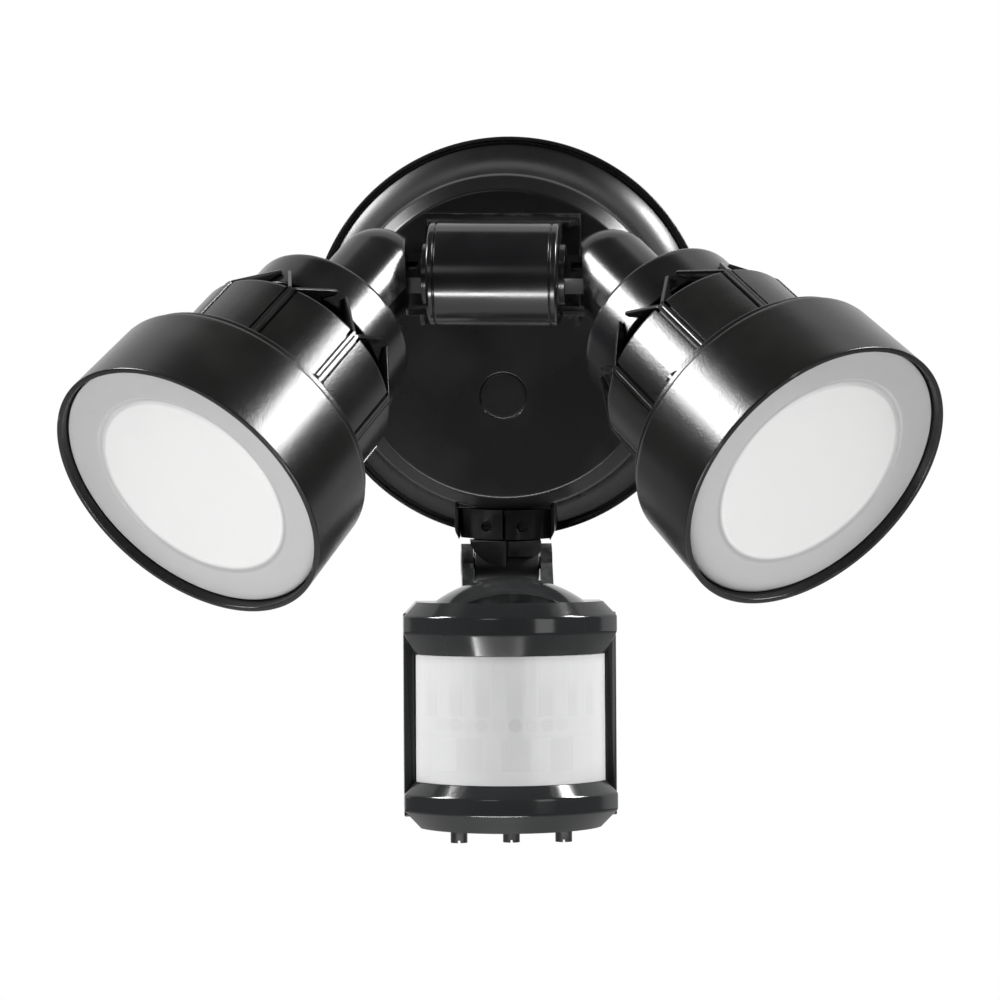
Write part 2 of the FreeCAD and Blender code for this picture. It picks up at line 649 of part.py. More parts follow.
def hub_nut(name, side):
    body = new_body(f"{name}_hub_nut", hub_frame(side))
    inner = "-ball_offset + core_half - core_wall - 3.6"
    pad(body, "YZ_Plane", [hexagon("0", "0", "9.2"), ("0", "0", "hub_shaft")], "3.4", inner)


def hub_seal(name, side):
    body = new_body(f"{name}_hub_seal", hub_frame(side))
    pad(body, "YZ_Plane", [("0", "0", "hub_flange - 0.6"), ("0", "0", "hub_shaft + 0.1")],
        "barrel_half - core_half + 0.2", "-ball_offset + core_half + 0.05")


def pivot_pin(name, side):
    body = new_body(f"{name}_pivot_pin", hub_frame(side))
    pad(body, "XZ_Plane", [("0", "0", "pin_radius")], "2 * pin_half", "0", True)


# ---------------------------------------------------------------- lamp heads

def elbow(name, side):
    body = new_body(f"{name}_elbow", head_frame(side))
    ball = "elbow_radius"
    turn(body, [("0", "-elbow_radius", ball), (ball, "0"), (ball, "collar_rear + 3"),
                ("neck_radius - 1.4", "collar_rear + 3"), ("neck_radius - 1.4", "collar_rear + 6"),
                ("0", "collar_rear + 6")])
    # inner flat that faces the barrel, and the slot in which the tongue swings
    plane = -number("flat_distance")
    flat = [rotated(x, z, number("flat_angle")) for x, z in rectangle(-40, -30, plane, 14)]
    pocket(body, "XZ_Plane", [flat], "60", "0", True)
    pocket(body, "XZ_Plane", [slot_outline()], "2 * tongue_half + 0.6", "0", True)
    pocket(body, "XZ_Plane", [("0", "0", "tongue_reach + 0.5")], "2 * tongue_half + 0.6", "0", True)
    pocket(body, "XZ_Plane", [("0", "0", "pin_radius")], "2 * pin_half", "0", True)
    pocket(body, "XY_Plane", [("0", "0", "3")], "collar_rear", "collar_rear + 6")
    pocket(body, "XY_Plane", [(x, y, "1.35") for x, y in elbow_screw_spots()], "4", "collar_rear + 6.5")


def elbow_screw_spots():
    return around(3, number("collar_screw_circle"), 30)


def housing_screw_spots():
    return around(4, number("boss_circle"), 45)


def rotated(x, z, angle):
    """Point of a lamp's side view turned from facing the barrel to its place in the elbow."""
    turned = math.radians(angle)
    return (x * math.cos(turned) - z * math.sin(turned), x * math.sin(turned) + z * math.cos(turned))


def slot_outline():
    """Area that the tongue sweeps, seen along the pin, from the least to the most splay."""
    half = number("tongue_reach") + 0.5
    far = 24
    upper = math.radians(number("splay_least"))
    lower = math.radians(number("splay_most"))
    high = (-math.sin(upper) * half, math.cos(upper) * half)
    low = (math.sin(lower) * half, -math.cos(lower) * half)
    return [high, (high[0] - far * math.cos(upper), high[1] - far * math.sin(upper)),
            (low[0] - far * math.cos(lower), low[1] - far * math.sin(lower)), low]


def around(count, radius, start=0):
    """Places on a circle."""
    angles = [math.radians(start + 360 * step / count) for step in range(count)]
    return [(radius * math.cos(angle), radius * math.sin(angle)) for angle in angles]


def collar(name, side):
    body = new_body(f"{name}_collar", head_frame(side))
    turn(body, [
        ("elbow_radius + 0.1", "collar_rear"), ("collar_radius", "collar_rear"),
        ("collar_radius", "collar_front"), ("neck_radius - 1.2", "collar_front"),
        ("neck_radius - 1.2", "collar_rear + 3"), ("elbow_radius + 0.1", "collar_rear + 3"),
    ])
    soften(body, "1", lambda edge: is_ring(edge, "collar_radius", "collar_rear"))
    pocket(body, "XY_Plane", [(x, y, "1.1") for x, y in elbow_screw_spots()], "2.6", "collar_rear + 3.5")


def is_ring(edge, radius, height):
    """True for the full circle of that radius at that height on a turned piece."""
    curve = edge.Curve
    if not isinstance(curve, Part.Circle):
        return False
    return abs(curve.Radius - number(radius)) < 1e-3 and abs(curve.Center.z - number(height)) < 1e-3


def elbow_screws(name, side):
    seats = [Vector(x, y, number("collar_rear + 6")) for x, y in elbow_screw_spots()]
    screws(f"{name}_elbow_screws", head_frame(side), seats, -OUT, "2.4", "1.6", "1.1", "5")


def ribbed_sleeve(name, side):
    body = new_body(f"{name}_ribbed_sleeve", head_frame(side))
    turn(body, [
        ("neck_radius - 3", "collar_front + 0.1"), ("neck_radius", "collar_front + 0.1"),
        ("neck_radius", "sleeve_rear"), ("sleeve_radius - 0.8", "sleeve_rear"),
        ("sleeve_radius", "sleeve_rear + 0.8"), ("sleeve_radius + 0.3", "drum_rear - 2.4"),
        ("drum_rear_radius - 1.4", "drum_rear - 2.4"), ("drum_rear_radius - 1.4", "drum_rear - 0.1"),
        ("sleeve_radius - 2.4", "drum_rear - 0.1"), ("sleeve_radius - 2.6", "sleeve_rear + 2.4"),
        ("neck_radius - 3", "sleeve_rear + 2.4"),
    ])
    top = "sleeve_radius + rib_height"
    rib = [("sleeve_radius - 1.2", "drum_rear - 2.5"), ("sleeve_radius - 1.2", "sleeve_rear + 0.6"),
           (top, "sleeve_rear + 0.6"), (f"{top} + 0.3", "drum_rear - 2.5")]
    ribs = [pad(body, "XZ_Plane", [rib], "rib_width", "0", True)]
    # each rib ends in two fins, which spread and slope down to the collar; the outline of a fin
    # is measured along the fin
    edge = "sleeve_rear + 0.6"
    step = f"{edge} - (sleeve_rear - collar_front + 0.3) / cos(fin_spread * 1deg)"
    tip = f"{edge} - fin_length"
    under = "neck_radius - 0.8"
    low = "collar_radius - 0.1"
    fin = [
        ("sleeve_radius - 1.2", f"{edge} + 1.6"), (under, f"{edge} + 1.6"), (under, step), (low, step),
        (f"{low} - 0.7", tip), (f"{low} + 0.3", tip), (top, edge), (top, f"{edge} + 1.6"),
    ]
    start = FreeCAD.Placement(Vector(), FreeCAD.Rotation(UP, side * number("rib_start")))
    place_sketch(ribs[0], start)
    pivot = Vector(0, number(edge), 0)
    for way in (-1, 1):
        ribs.append(pad(body, "XZ_Plane", [fin], "2 * fin_half", "0", True))
        beside = Vector(0, 0, -way * number("rib_width / 2 - fin_half"))
        spread = FreeCAD.Rotation(RIGHT, way * number("fin_spread"))
        place_sketch(ribs[-1], start * FreeCAD.Placement(beside, spread, pivot))
    doc.recompute()
    polar(body, ribs, "rib_count")
    pocket(body, "XY_Plane", [(x, y, "1.6") for x, y in housing_screw_spots()], "5", "drum_rear + 1")


def housing_screws(name, side):
    seats = [Vector(x, y, number("drum_rear - 2.4")) for x, y in housing_screw_spots()]
    screws(f"{name}_housing_screws", head_frame(side), seats, OUT, "2.7", "1.8", "1.25", "4.4")


def drum(name, side):
    body = new_body(f"{name}_drum", head_frame(side))
    turn(body, [
        ("sleeve_radius - 1.6", "drum_rear"), ("drum_rear_radius - 0.9", "drum_rear", "0.9"),
        ("drum_rear_radius", "drum_rear + 0.9"), ("rim_radius", "rim_reach - 0.5"),
        ("rim_radius - 0.5", "rim_reach"), ("rim_radius - lip_width + 0.3", "rim_reach"),
        ("rim_radius - lip_width", "rim_reach - 0.3"),
        ("diffuser_radius + 0.2", "rim_reach - diffuser_recess - 4.6"),
        ("diffuser_radius - 1.8", "rim_reach - diffuser_recess - 4.6"),
        ("drum_rear_radius - 2.2", "drum_rear + 2.2"), ("sleeve_radius - 1.6", "drum_rear + 2.2"),
    ])
    pad(body, "XY_Plane", [(x, y, "2.9") for x, y in housing_screw_spots()], "3", "drum_rear + 1")
    pocket(body, "XY_Plane", [(x, y, "1.25") for x, y in housing_screw_spots()], "3.2", "drum_rear + 2.6")


def diffuser(name, side):
    body = new_body(f"{name}_diffuser", head_frame(side))
    face = "rim_reach - diffuser_recess"
    back = "rim_reach - diffuser_recess - 2.4"
    turn(body, [
        ("0", back), ("diffuser_radius", back), ("diffuser_radius", f"{face} - 0.3"),
        ("diffuser_radius - 0.3", face), ("window_radius + 0.8", face),
        ("window_radius", f"{face} - 0.35"), ("window_radius - 0.8", f"{face} - 0.35"),
        ("window_radius - 1.6", f"{face} - 0.1"), ("0", f"{face} - 0.1"),
    ])


def lens_gasket(name, side):
    body = new_body(f"{name}_lens_gasket", head_frame(side))
    turn(body, rectangle("diffuser_radius - 2.4", "rim_reach - diffuser_recess - 4.5",
                         "diffuser_radius", "rim_reach - diffuser_recess - 2.4"))


def heat_spreader(name, side):
    body = new_body(f"{name}_heat_spreader", head_frame(side))
    turn(body, [("4", "drum_rear + 2.3"), ("drum_rear_radius - 6.5", "drum_rear + 2.3"),
                ("drum_rear_radius - 6.5", "drum_rear + 5.4"), ("4", "drum_rear + 5.4")])
    pocket(body, "XY_Plane", [(x, y, "3.2") for x, y in housing_screw_spots()], "6", "drum_rear + 6")


def led_board(name, side):
    body = new_body(f"{name}_led_board", head_frame(side))
    low = "drum_rear + 5.4"
    pad(body, "XY_Plane", [("0", "0", "window_radius - 1")], "1.2", low)
    for count, radius in ((6, 9), (12, 18), (18, 27)):
        x, y = around(count, radius)[0]
        chip = rectangle(x - 1.4, y - 1.4, x + 1.4, y + 1.4)
        first = pad(body, "XY_Plane", [chip], "0.8", "drum_rear + 6.5")
        polar(body, [first], count)


def reflector(name, side):
    body = new_body(f"{name}_reflector", head_frame(side))
    low = "drum_rear + 5.5"
    high = "rim_reach - diffuser_recess - 4.7"
    turn(body, [("window_radius - 0.6", low), ("window_radius + 1", low), ("window_radius + 1.6", low),
                ("diffuser_radius - 3.6", high), ("diffuser_radius - 5", high)])


LAMP_PIECES = (tilt_hub, hub_nut, hub_seal, pivot_pin, elbow, collar, elbow_screws, ribbed_sleeve,
               housing_screws, drum, diffuser, lens_gasket, heat_spreader, led_board, reflector)


# ---------------------------------------------------------------- swivel of the sensor

def clamp_half_outline(side):
    """Plan of one clamp half (x right, z out of the wall) with its curved front."""
    inner = f"{side} * 0.5"
    outer = f"{side} * clamp_half"
    bend = f"{side} * 24"
    return [(inner, "8"), (outer, "8"), (outer, "clamp_front - 4.4", bend), (inner, "clamp_front")]


def swivel_clamp(name, side):
    body = new_body(f"swivel_clamp_{name}", WALL)
    outline = clamp_half_outline(side)
    pad(body, "XZ_Plane", [outline], "swivel_drop - clamp_top - 0.2", "swivel_drop - 0.2", False, True)
    post = ("0", "swivel_out", "post_radius + running_gap")
    pocket(body, "XZ_Plane", [post], "40", "swivel_drop - 5", True)
    head = ("0", "swivel_out", "post_head + 0.1")
    pocket(body, "XZ_Plane", [head], "2.1", "clamp_top", False, True)
    screw = (f"{side} * clamp_screw_side", "-swivel_drop + clamp_screw_up")
    pocket(body, "XY_Plane", [screw + ("0.9",)], "30", "28")
    pocket(body, "XY_Plane", [screw + ("1.7",)], "clamp_screw_deep", "clamp_front")


def clamp_screws():
    up = number("-swivel_drop + clamp_screw_up")
    out = number("clamp_front - clamp_screw_deep")
    seats = [Vector(number(x), up, out) for x in clamp_screw_sides()]
    screws("clamp_screws", WALL, seats, -OUT, "1.6", "1.3", "0.8", "15.5")


def sensor_knuckle():
    body = new_body("sensor_knuckle", swivel_frame())
    pad(body, "XZ_Plane", [("0", "0", "post_radius")], "swivel_drop - clamp_top + 0.2", "0.3", False, True)
    pad(body, "XZ_Plane", [("0", "0", "post_head")], "1.8", "clamp_top - swivel_drop + 2", False, True)
    apron = [
        ("-knuckle_half - 1.4", "-0.3"), ("-knuckle_half - 1.4", "-1", "12"), ("-2.6", "-8.2"),
        ("-0.5", "-8.4"), ("-0.5", "-5.2"), ("knuckle_half - 2.2", "-5.2", "2.6"),
        ("knuckle_half + 0.4", "-2.6"), ("knuckle_half + 0.4", "-0.3"),
    ]
    pad(body, "XY_Plane", [apron], "5.2", "3.2")
    neck = rectangle("-knuckle_half", "-tilt_drop", "knuckle_half", "-0.3")
    pad(body, "XY_Plane", [neck], "8.4", "-4.9")
    pad(body, "YZ_Plane", [("-tilt_drop", "0", "arm_radius - 1.3")], "2 * knuckle_half", "0", True)
    bolt = ("-tilt_drop", "0", "tilt_bolt_radius + running_gap")
    pocket(body, "YZ_Plane", [bolt], "3 * knuckle_half", "0", True)
    pocket(body, "XY_Plane", [rectangle("-0.5", "-12", "0.5", "0.2")], "0.7", "8.4")


def tilt_bolt():
    seat = Vector(-number("arm_outer - bolt_seat"), -number("tilt_drop"), 0)
    length = "2 * arm_outer - bolt_seat - 0.2"
    screws("tilt_bolt", swivel_frame(), [seat], RIGHT, "3.6", "1.7", "tilt_bolt_radius", length)


def tilt_nut():
    body = new_body("tilt_nut", swivel_frame())
    hole = ("-tilt_drop", "0", "tilt_bolt_radius")
    pad(body, "YZ_Plane", [hexagon("-tilt_drop", "0", "3.6"), hole], "1.7", "arm_outer - bolt_seat + 0.1")


# ---------------------------------------------------------------- sensor head

def plan_outline(inset, back):
    """Plan of the sensor's front (x right, z out), moved inwards by inset."""
    half = f"sensor_half - ({inset})"
    side = f"sensor_side - ({inset}) * 0.6"
    bulge = "sensor_bulge"
    radius = f"((sensor_half - ({inset})) ^ 2 + {bulge} ^ 2) / (2 * {bulge})"
    return [(f"-({half})", back), (half, back), (half, side, radius), (f"-({half})", side)]


def band(body, levels):
    """Loft through plans at the given heights below the tilt axis, as (height, inset)."""
    sketches = []
    for height, inset in levels:
        sketch = new_sketch(body, "XZ_Plane", height)
        draw_outline(sketch, plan_outline(inset, "sensor_split"))
        sketches.append(sketch)
    before = body.Shape.Volume if body.Tip else 0
    loft = body.newObject("PartDesign::AdditiveLoft", "band")
    loft.Profile = sketches[0]
    loft.Sections = sketches[1:]
    loft.Ruled = True
    doc.recompute()
    if body.Shape.Volume <= before:
        raise ValueError("the band adds nothing")


def sensor_front_frame():
    body = new_body("sensor_front_frame", sensor_frame())
    top = "sensor_top"
    low = "sensor_bottom"
    band(body, [(top, "brow_inset"), (f"{top} + brow_chamfer", "0"), (f"{top} + brow_chamfer + band_face", "0"),
                (f"{top} + brow_chamfer + band_face + brow_bevel", "waist_inset")])
    foot = "-sensor_bottom + foot_chamfer"
    for x in ("-sensor_half", "sensor_half - waist_inset"):
        post = rectangle(x, foot, f"{x} + waist_inset", "-sensor_top - brow_chamfer")
        pad(body, "XY_Plane", [post], "4.5", "sensor_split")
    band(body, [(f"{low} - foot_chamfer - band_face - foot_bevel", "waist_inset"),
                (f"{low} - foot_chamfer - band_face", "0"), (f"{low} - foot_chamfer", "0"),
                (low, "foot_inset")])
    room = plan_outline("waist_inset + sensor_wall", "sensor_split - 1")
    pocket(body, "XZ_Plane", [room], "sensor_bottom - sensor_top - 15", "sensor_top + 7.5", False, True)
    for x in ("-knob_pitch", "0", "knob_pitch"):
        knob = (x, "knob_depth", "knob_radius + running_gap")
        pocket(body, "XZ_Plane", [knob], "12", "sensor_bottom + 2")
    holes = [(x, y, "1.2") for x, y in shell_screw_spots()]
    pocket(body, "XY_Plane", holes, "11", "sensor_split + 10")


def shell_screw_spots():
    """The four screws that hold the sensor's two shells together, as expressions."""
    return [(x, y) for x in ("-shell_screw_side", "shell_screw_side")
            for y in ("-sensor_top - 4", "-sensor_bottom + 4")]


def sensor_lens():
    body = new_body("sensor_lens", sensor_frame())
    high = "sensor_top + brow_chamfer + band_face + brow_bevel + 0.1"
    low = "sensor_bottom - foot_chamfer - band_face - foot_bevel - 0.1"
    outer = plan_outline("waist_inset + 0.2", "sensor_split + 4.6")
    pad(body, "XZ_Plane", [outer], f"{low} - ({high})", high)
    inner = plan_outline("waist_inset + 1.3", "sensor_split + 3")
    pocket(body, "XZ_Plane", [inner], "sensor_bottom - sensor_top", "sensor_top", False, True)


def sensor_rear_shell():
    body = new_body("sensor_rear_shell", sensor_frame())
    case = [
        ("-sensor_half", "-sensor_bottom + foot_chamfer"), ("-sensor_half + foot_inset", "-sensor_bottom"),
        ("sensor_half - foot_inset", "-sensor_bottom"), ("sensor_half", "-sensor_bottom + foot_chamfer"),
        ("sensor_half", "-sensor_top - brow_chamfer"), ("sensor_half - brow_inset", "-sensor_top"),
        ("-sensor_half + brow_inset", "-sensor_top"), ("-sensor_half", "-sensor_top - brow_chamfer"),
    ]
    pad(body, "XY_Plane", [case], "sensor_split - sensor_back - 0.1", "sensor_back")
    soften(body, "2.4", lambda edge: abs(edge.BoundBox.ZMax - number("sensor_back")) < 1e-3)
    room = rectangle("-sensor_half + sensor_wall", "-sensor_bottom + 7", "sensor_half - sensor_wall",
                     "-sensor_top - 7")
    pocket(body, "XY_Plane", [room], "sensor_split - sensor_back - sensor_wall", "sensor_split + 0.1")
    arm = [("-sensor_top - 1", "sensor_back + 0.6"), ("0", "-arm_radius", "arm_radius"),
           ("arm_radius", "0", "arm_radius"), ("0", "arm_radius"), ("-sensor_top - 1", "sensor_split - 1.5")]
    for low in ("arm_gap", "-arm_outer"):
        pad(body, "YZ_Plane", [arm], "arm_outer - arm_gap", low)
    pocket(body, "YZ_Plane", [("0", "0", "tilt_bolt_radius + running_gap")], "4 * arm_outer", "0", True)
    for low in ("arm_outer - bolt_seat", "-arm_outer"):
        pocket(body, "YZ_Plane", [("0", "0", "4")], "bolt_seat", low, False, True)
    spots = shell_screw_spots()
    pocket(body, "XY_Plane", [(x, y, "1.5") for x, y in spots], "20", "sensor_split + 1")
    pocket(body, "XY_Plane", [(x, y, "2.7") for x, y in spots], "4", "sensor_back + 2")


def shell_screws():
    seats = [Vector(number(x), number(y), number("sensor_back + 2")) for x, y in shell_screw_spots()]
    length = "sensor_split - sensor_back + 6"
    screws("shell_screws", sensor_frame(), seats, OUT, "2.5", "1.8", "1.2", length)


def sensor_top_cap():
    """Shallow dome on the front frame, cut off at the rear shell; z points up, y to the wall."""
    middle = Vector(0, -number("sensor_top"), number("dome_middle"))
    upright = FreeCAD.Placement(middle, FreeCAD.Rotation(RIGHT, -90))
    body = new_body("sensor_top_cap", sensor_frame() * upright)
    ball = "(dome_radius ^ 2 + dome_height ^ 2) / (2 * dome_height)"
    turn(body, [("0", "0"), ("dome_radius", "0", ball), ("0", "dome_height")])
    for low in ("dome_middle - sensor_split - 0.3", "-dome_trim - 20"):
        pocket(body, "XY_Plane", [rectangle("-30", low, "30", f"{low} + 20")], "10", "10")


def sensor_board():
    body = new_body("sensor_board", sensor_frame())
    board = rectangle("-sensor_half + 4", "-sensor_bottom + 8", "sensor_half - 4", "-sensor_top - 8")
    pad(body, "XY_Plane", [board], "board_thickness", "sensor_split - 3.4")


def pir_detector():
    body = new_body("pir_detector", sensor_frame())
    middle = "-(sensor_top + sensor_bottom) / 2"
    pad(body, "XY_Plane", [("0", middle, "4.6")], "0.7", "sensor_split - 1.8")
    pad(body, "XY_Plane", [("0", middle, "4.1")], "4", "sensor_split - 1.4")


def photocell():
    body = new_body("photocell", sensor_frame())
    middle = "-(sensor_top + sensor_bottom) / 2"
    pad(body, "XY_Plane", [("18", middle, "2.5")], "2.2", "sensor_split - 1.8")


def adjuster_pots():
    members = []
    side = 7
    for column in (-1, 0, 1):
        box = doc.addObject("Part::Box", "pot")
        box.Length = side
        box.Width = 6
        box.setExpression("Height", linked("knob_depth - sensor_split + 5.2"))
        box.Placement.Base = Vector(column * number("knob_pitch") - side / 2,
                                    number("-sensor_bottom + 8.3"), number("sensor_split - 1.8"))
        members.append(box)
    doc.recompute()
    group("adjuster_pots", sensor_frame(), members)


def adjuster(name, column):
    centre = Vector(column * number("knob_pitch"), 0, number("knob_depth"))
    body = new_body(f"{name}_adjuster", sensor_frame() * FreeCAD.Placement(centre, FreeCAD.Rotation()))
    pad(body, "XZ_Plane", [("0", "0", "knob_radius")], "knob_proud + 7.5", "sensor_bottom - 7.5")
    slot = rectangle("-0.4", "-5", "0.4", "5")
    pocket(body, "XZ_Plane", [slot], "0.8", "sensor_bottom + knob_proud")


# ---------------------------------------------------------------- build and write

def build():
    wall_gasket()
    canopy_cover()
    hole_plug()
    canopy_bolt()
    crossbar_bracket()
    ground_screw()
    lamp_block()
    barrel_cover()
    block_screws()
    driver_board()
    board_posts()
    wire_connectors()
    for name, side in (("left", -1), ("right", 1)):
        for make in LAMP_PIECES:
            make(name, side)
        swivel_clamp(name, side)
    clamp_screws()
    sensor_knuckle()
    tilt_bolt()
    tilt_nut()
    sensor_front_frame()
    sensor_lens()
    sensor_rear_shell()
    shell_screws()
    sensor_top_cap()
    sensor_board()
    pir_detector()
    photocell()
    adjuster_pots()
    for name, column in (("time", -1), ("range", 0), ("dusk", 1)):
        adjuster(name, column)


def check_and_write():
    doc.recompute()
    for item in doc.Objects:
        if "Invalid" in item.State or "Error" in item.State:
            raise ValueError(f"{item.Label} failed: {item.State}")
    os.makedirs("parts", exist_ok=True)
    for part in subparts:
        shape = part.Shape
        if shape.isNull() or not shape.isValid():
            raise ValueError(f"{part.Label} has no valid shape")
        shape.exportStep(f"parts/{part.Label}.step")
        print(f"{part.Label:24s} {len(shape.Solids)} solid(s) {shape.Volume / 1000:8.2f} cm3")


build()
check_and_write()
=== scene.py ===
# %% [markdown]
# # A wall light with two lamps and a motion sensor
#
# The light is screwed to a round junction box: a canopy against the wall, a block with a barrel
# that carries two swivelling lamps, and a sensor that hangs below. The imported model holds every
# solid in its place and on its moving body, so the first step is to load it. The room is in
# metres, with the wall at Y = 0 and the front facing -Y; outlines are written in millimetres.

# %% load the frame
import json
import math

import bmesh
import bpy
import numpy as np
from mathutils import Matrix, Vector

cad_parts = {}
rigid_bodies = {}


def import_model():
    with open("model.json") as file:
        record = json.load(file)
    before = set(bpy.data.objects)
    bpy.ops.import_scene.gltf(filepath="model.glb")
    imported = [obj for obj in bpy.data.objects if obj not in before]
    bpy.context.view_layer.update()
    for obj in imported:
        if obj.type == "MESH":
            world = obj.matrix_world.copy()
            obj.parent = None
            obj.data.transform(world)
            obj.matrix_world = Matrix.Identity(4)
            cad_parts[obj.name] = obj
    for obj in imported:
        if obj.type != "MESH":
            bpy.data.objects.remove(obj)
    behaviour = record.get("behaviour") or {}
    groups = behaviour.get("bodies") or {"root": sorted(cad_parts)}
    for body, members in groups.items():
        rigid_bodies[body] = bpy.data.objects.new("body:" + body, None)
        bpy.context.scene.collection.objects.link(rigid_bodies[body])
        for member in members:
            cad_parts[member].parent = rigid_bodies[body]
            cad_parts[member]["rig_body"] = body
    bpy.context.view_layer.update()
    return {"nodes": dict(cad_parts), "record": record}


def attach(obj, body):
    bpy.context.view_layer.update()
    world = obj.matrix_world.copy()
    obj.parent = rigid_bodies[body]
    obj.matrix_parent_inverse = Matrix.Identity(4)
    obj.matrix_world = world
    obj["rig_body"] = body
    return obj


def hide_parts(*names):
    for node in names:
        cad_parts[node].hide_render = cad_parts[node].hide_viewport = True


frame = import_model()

nodes = frame["nodes"]
slot_of = {part["node"]: part["material_slot"] for part in frame["record"]["subparts"]}
body_of = {name: node["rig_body"] for name, node in nodes.items()}

# %% [markdown]
# ## Camera
#
# A long lens from a metre away, a little to the right of the light and a little above it. These
# numbers come from matching the rims of the canopy and of both lamps, which are true circles.

# %% camera
def look(thing, place, target):
    """Stand at a place and turn so that the view axis runs from the place to the target."""
    thing.location = place
    thing.rotation_euler = (Vector(target) - Vector(place)).to_track_quat("-Z", "Y").to_euler()
    bpy.context.scene.collection.objects.link(thing)
    return thing


camera = bpy.data.objects.new("camera", bpy.data.cameras.new("camera"))
camera.data.sensor_width = 36
camera.data.lens = 112.18
look(camera, (0.0762, -0.9871, 0.0867), (-0.0032, 0, -0.0525))
bpy.context.scene.camera = camera
bpy.context.scene.view_settings.view_transform = "Standard"
print("camera lens", camera.data.lens)

# %% [markdown]
# ## Surfaces from arrays
#
# Most pieces of the light are turned or drawn through a die: one outline, carried round an axis
# or along a path. So a piece is a grid of points, worked out with numpy as one array, and each
# face joins four neighbours in the grid. One helper turns such a grid into a mesh.

# %% grid to mesh
MM = 0.001


def skin(name, grid, rows_meet=False, columns_meet=True, crease=35):
    """Mesh over a grid of points [row, column, 3] in millimetres.

    Each face joins (row, column) to the next row and the next column. Where rows or columns
    meet, the last one joins the first. Ends that stay open are closed with a flat face.
    """
    rows, columns = grid.shape[:2]
    index = np.arange(rows * columns).reshape(rows, columns)
    if rows_meet:
        index = np.concatenate([index, index[:1]])
    if columns_meet:
        index = np.concatenate([index, index[:, :1]], axis=1)
    corners = [index[:-1, :-1], index[1:, :-1], index[1:, 1:], index[:-1, 1:]]
    faces = np.stack(corners, -1).reshape(-1, 4)
    mesh = bpy.data.meshes.new(name)
    mesh.from_pydata((grid.reshape(-1, 3) * MM).tolist(), [], faces.tolist())
    close_up(mesh)
    return show(name, mesh, crease)


def close_up(mesh, merge=2e-6):
    """Merge doubled points, fill open ends and turn every face outwards."""
    work = bmesh.new()
    work.from_mesh(mesh)
    bmesh.ops.remove_doubles(work, verts=work.verts, dist=merge)
    bmesh.ops.holes_fill(work, edges=[edge for edge in work.edges if edge.is_boundary], sides=0)
    bmesh.ops.recalc_face_normals(work, faces=work.faces)
    work.to_mesh(mesh)
    work.free()


def show(name, mesh, crease=35):
    """Object at the origin with smooth faces and a crease where the surface turns sharply."""
    mesh.shade_smooth()
    mesh.set_sharp_from_angle(angle=math.radians(crease))
    piece = bpy.data.objects.new(name, mesh)
    bpy.context.scene.collection.objects.link(piece)
    return piece


# %% [markdown]
# A moulded or cast edge is never sharp: it has a radius of a few tenths of a millimetre, and that
# radius is what catches the light. So an outline is given by its corners with a radius each, and
# every corner becomes a short curve. A second helper samples true arcs, and a third rises softly
# from zero to one.

# %% outlines
def rounded(corners, closed=True, steps=4):
    """Outline through corners (x, y, radius), each corner swapped for a curve.

    The curve starts and ends at the set-back distance from the corner and follows
    (1 - t)^2 start + 2 t (1 - t) corner + t^2 end. The set-back is the radius, but always less
    than half of either side. One more point on each side keeps the neighbouring face flat.
    """
    corners = np.array([tuple(c) + (0,) * (3 - len(c)) for c in corners], float)
    place, radius = corners[:, :2], corners[:, 2]
    back = np.roll(place, 1, 0) - place
    ahead = np.roll(place, -1, 0) - place
    if not closed:
        back[0] = ahead[-1] = 0
    runs = [np.linalg.norm(side, axis=1) for side in (back, ahead)]
    reach = np.minimum(radius, 0.45 * np.minimum(*runs))
    unit = [side / np.maximum(run, 1e-9)[:, None] for side, run in zip((back, ahead), runs)]
    start, end = (place + way * reach[:, None] for way in unit)
    t = np.linspace(0, 1, steps + 1)[None, :, None]
    curve = (1 - t) ** 2 * start[:, None] + 2 * t * (1 - t) * place[:, None] + t ** 2 * end[:, None]
    guard = [place + way * np.minimum(1.7 * reach, 0.48 * run)[:, None]
             for way, run in zip(unit, runs)]
    return np.concatenate([guard[0][:, None], curve, guard[1][:, None]], 1).reshape(-1, 2)


def arc(start, end, radius, steps=16):
    """Points of a circle's arc, with its centre on the left of the way for a positive radius."""
    start, end = np.array(start, float), np.array(end, float)
    chord = end - start
    length = np.linalg.norm(chord)
    left = np.array([-chord[1], chord[0]]) / length
    offset = math.copysign(math.sqrt(radius ** 2 - length ** 2 / 4), radius)
    centre = (start + end) / 2 + left * offset
    first, last = (np.arctan2(*(point - centre)[::-1]) for point in (start, end))
    sweep = (last - first + math.pi) % (2 * math.pi) - math.pi
    angle = first + sweep * np.linspace(0, 1, steps)
    return [tuple(centre + abs(radius) * np.array([math.cos(a), math.sin(a)])) for a in angle]


def soft_step(value, low, high):
    """t^2 (3 - 2 t), with t rising from zero at low to one at high."""
    t = np.clip((value - low) / (high - low), 0, 1)
    return t * t * (3 - 2 * t)


# %% [markdown]
# Each assembly of the light has its own axes: the canopy looks out of the wall, each lamp along
# its own axis, the sensor out of its window. A frame is four rows, its origin and three axes, and
# a local point becomes a place in the room as origin + x X + y Y + z Z.

# %% frames
PIN = (35, -60, 24)
LAMP_DROP, LEFT_SPLAY, RIGHT_SPLAY = 35.4, 24.8, 34.3
SENSOR_HINGE = (0, -15, -70.5)
SENSOR_TURN, SENSOR_TIP = 7.1, 8.3


def framed(origin, x_axis, z_axis):
    """Rows of a frame: origin in millimetres, X, Y = Z x X and Z."""
    return np.array([origin, x_axis, np.cross(z_axis, x_axis), z_axis], float)


def placed(points, rows):
    """Origin plus each coordinate times its axis, for a whole array of points."""
    return rows[0] + np.asarray(points) @ rows[1:]


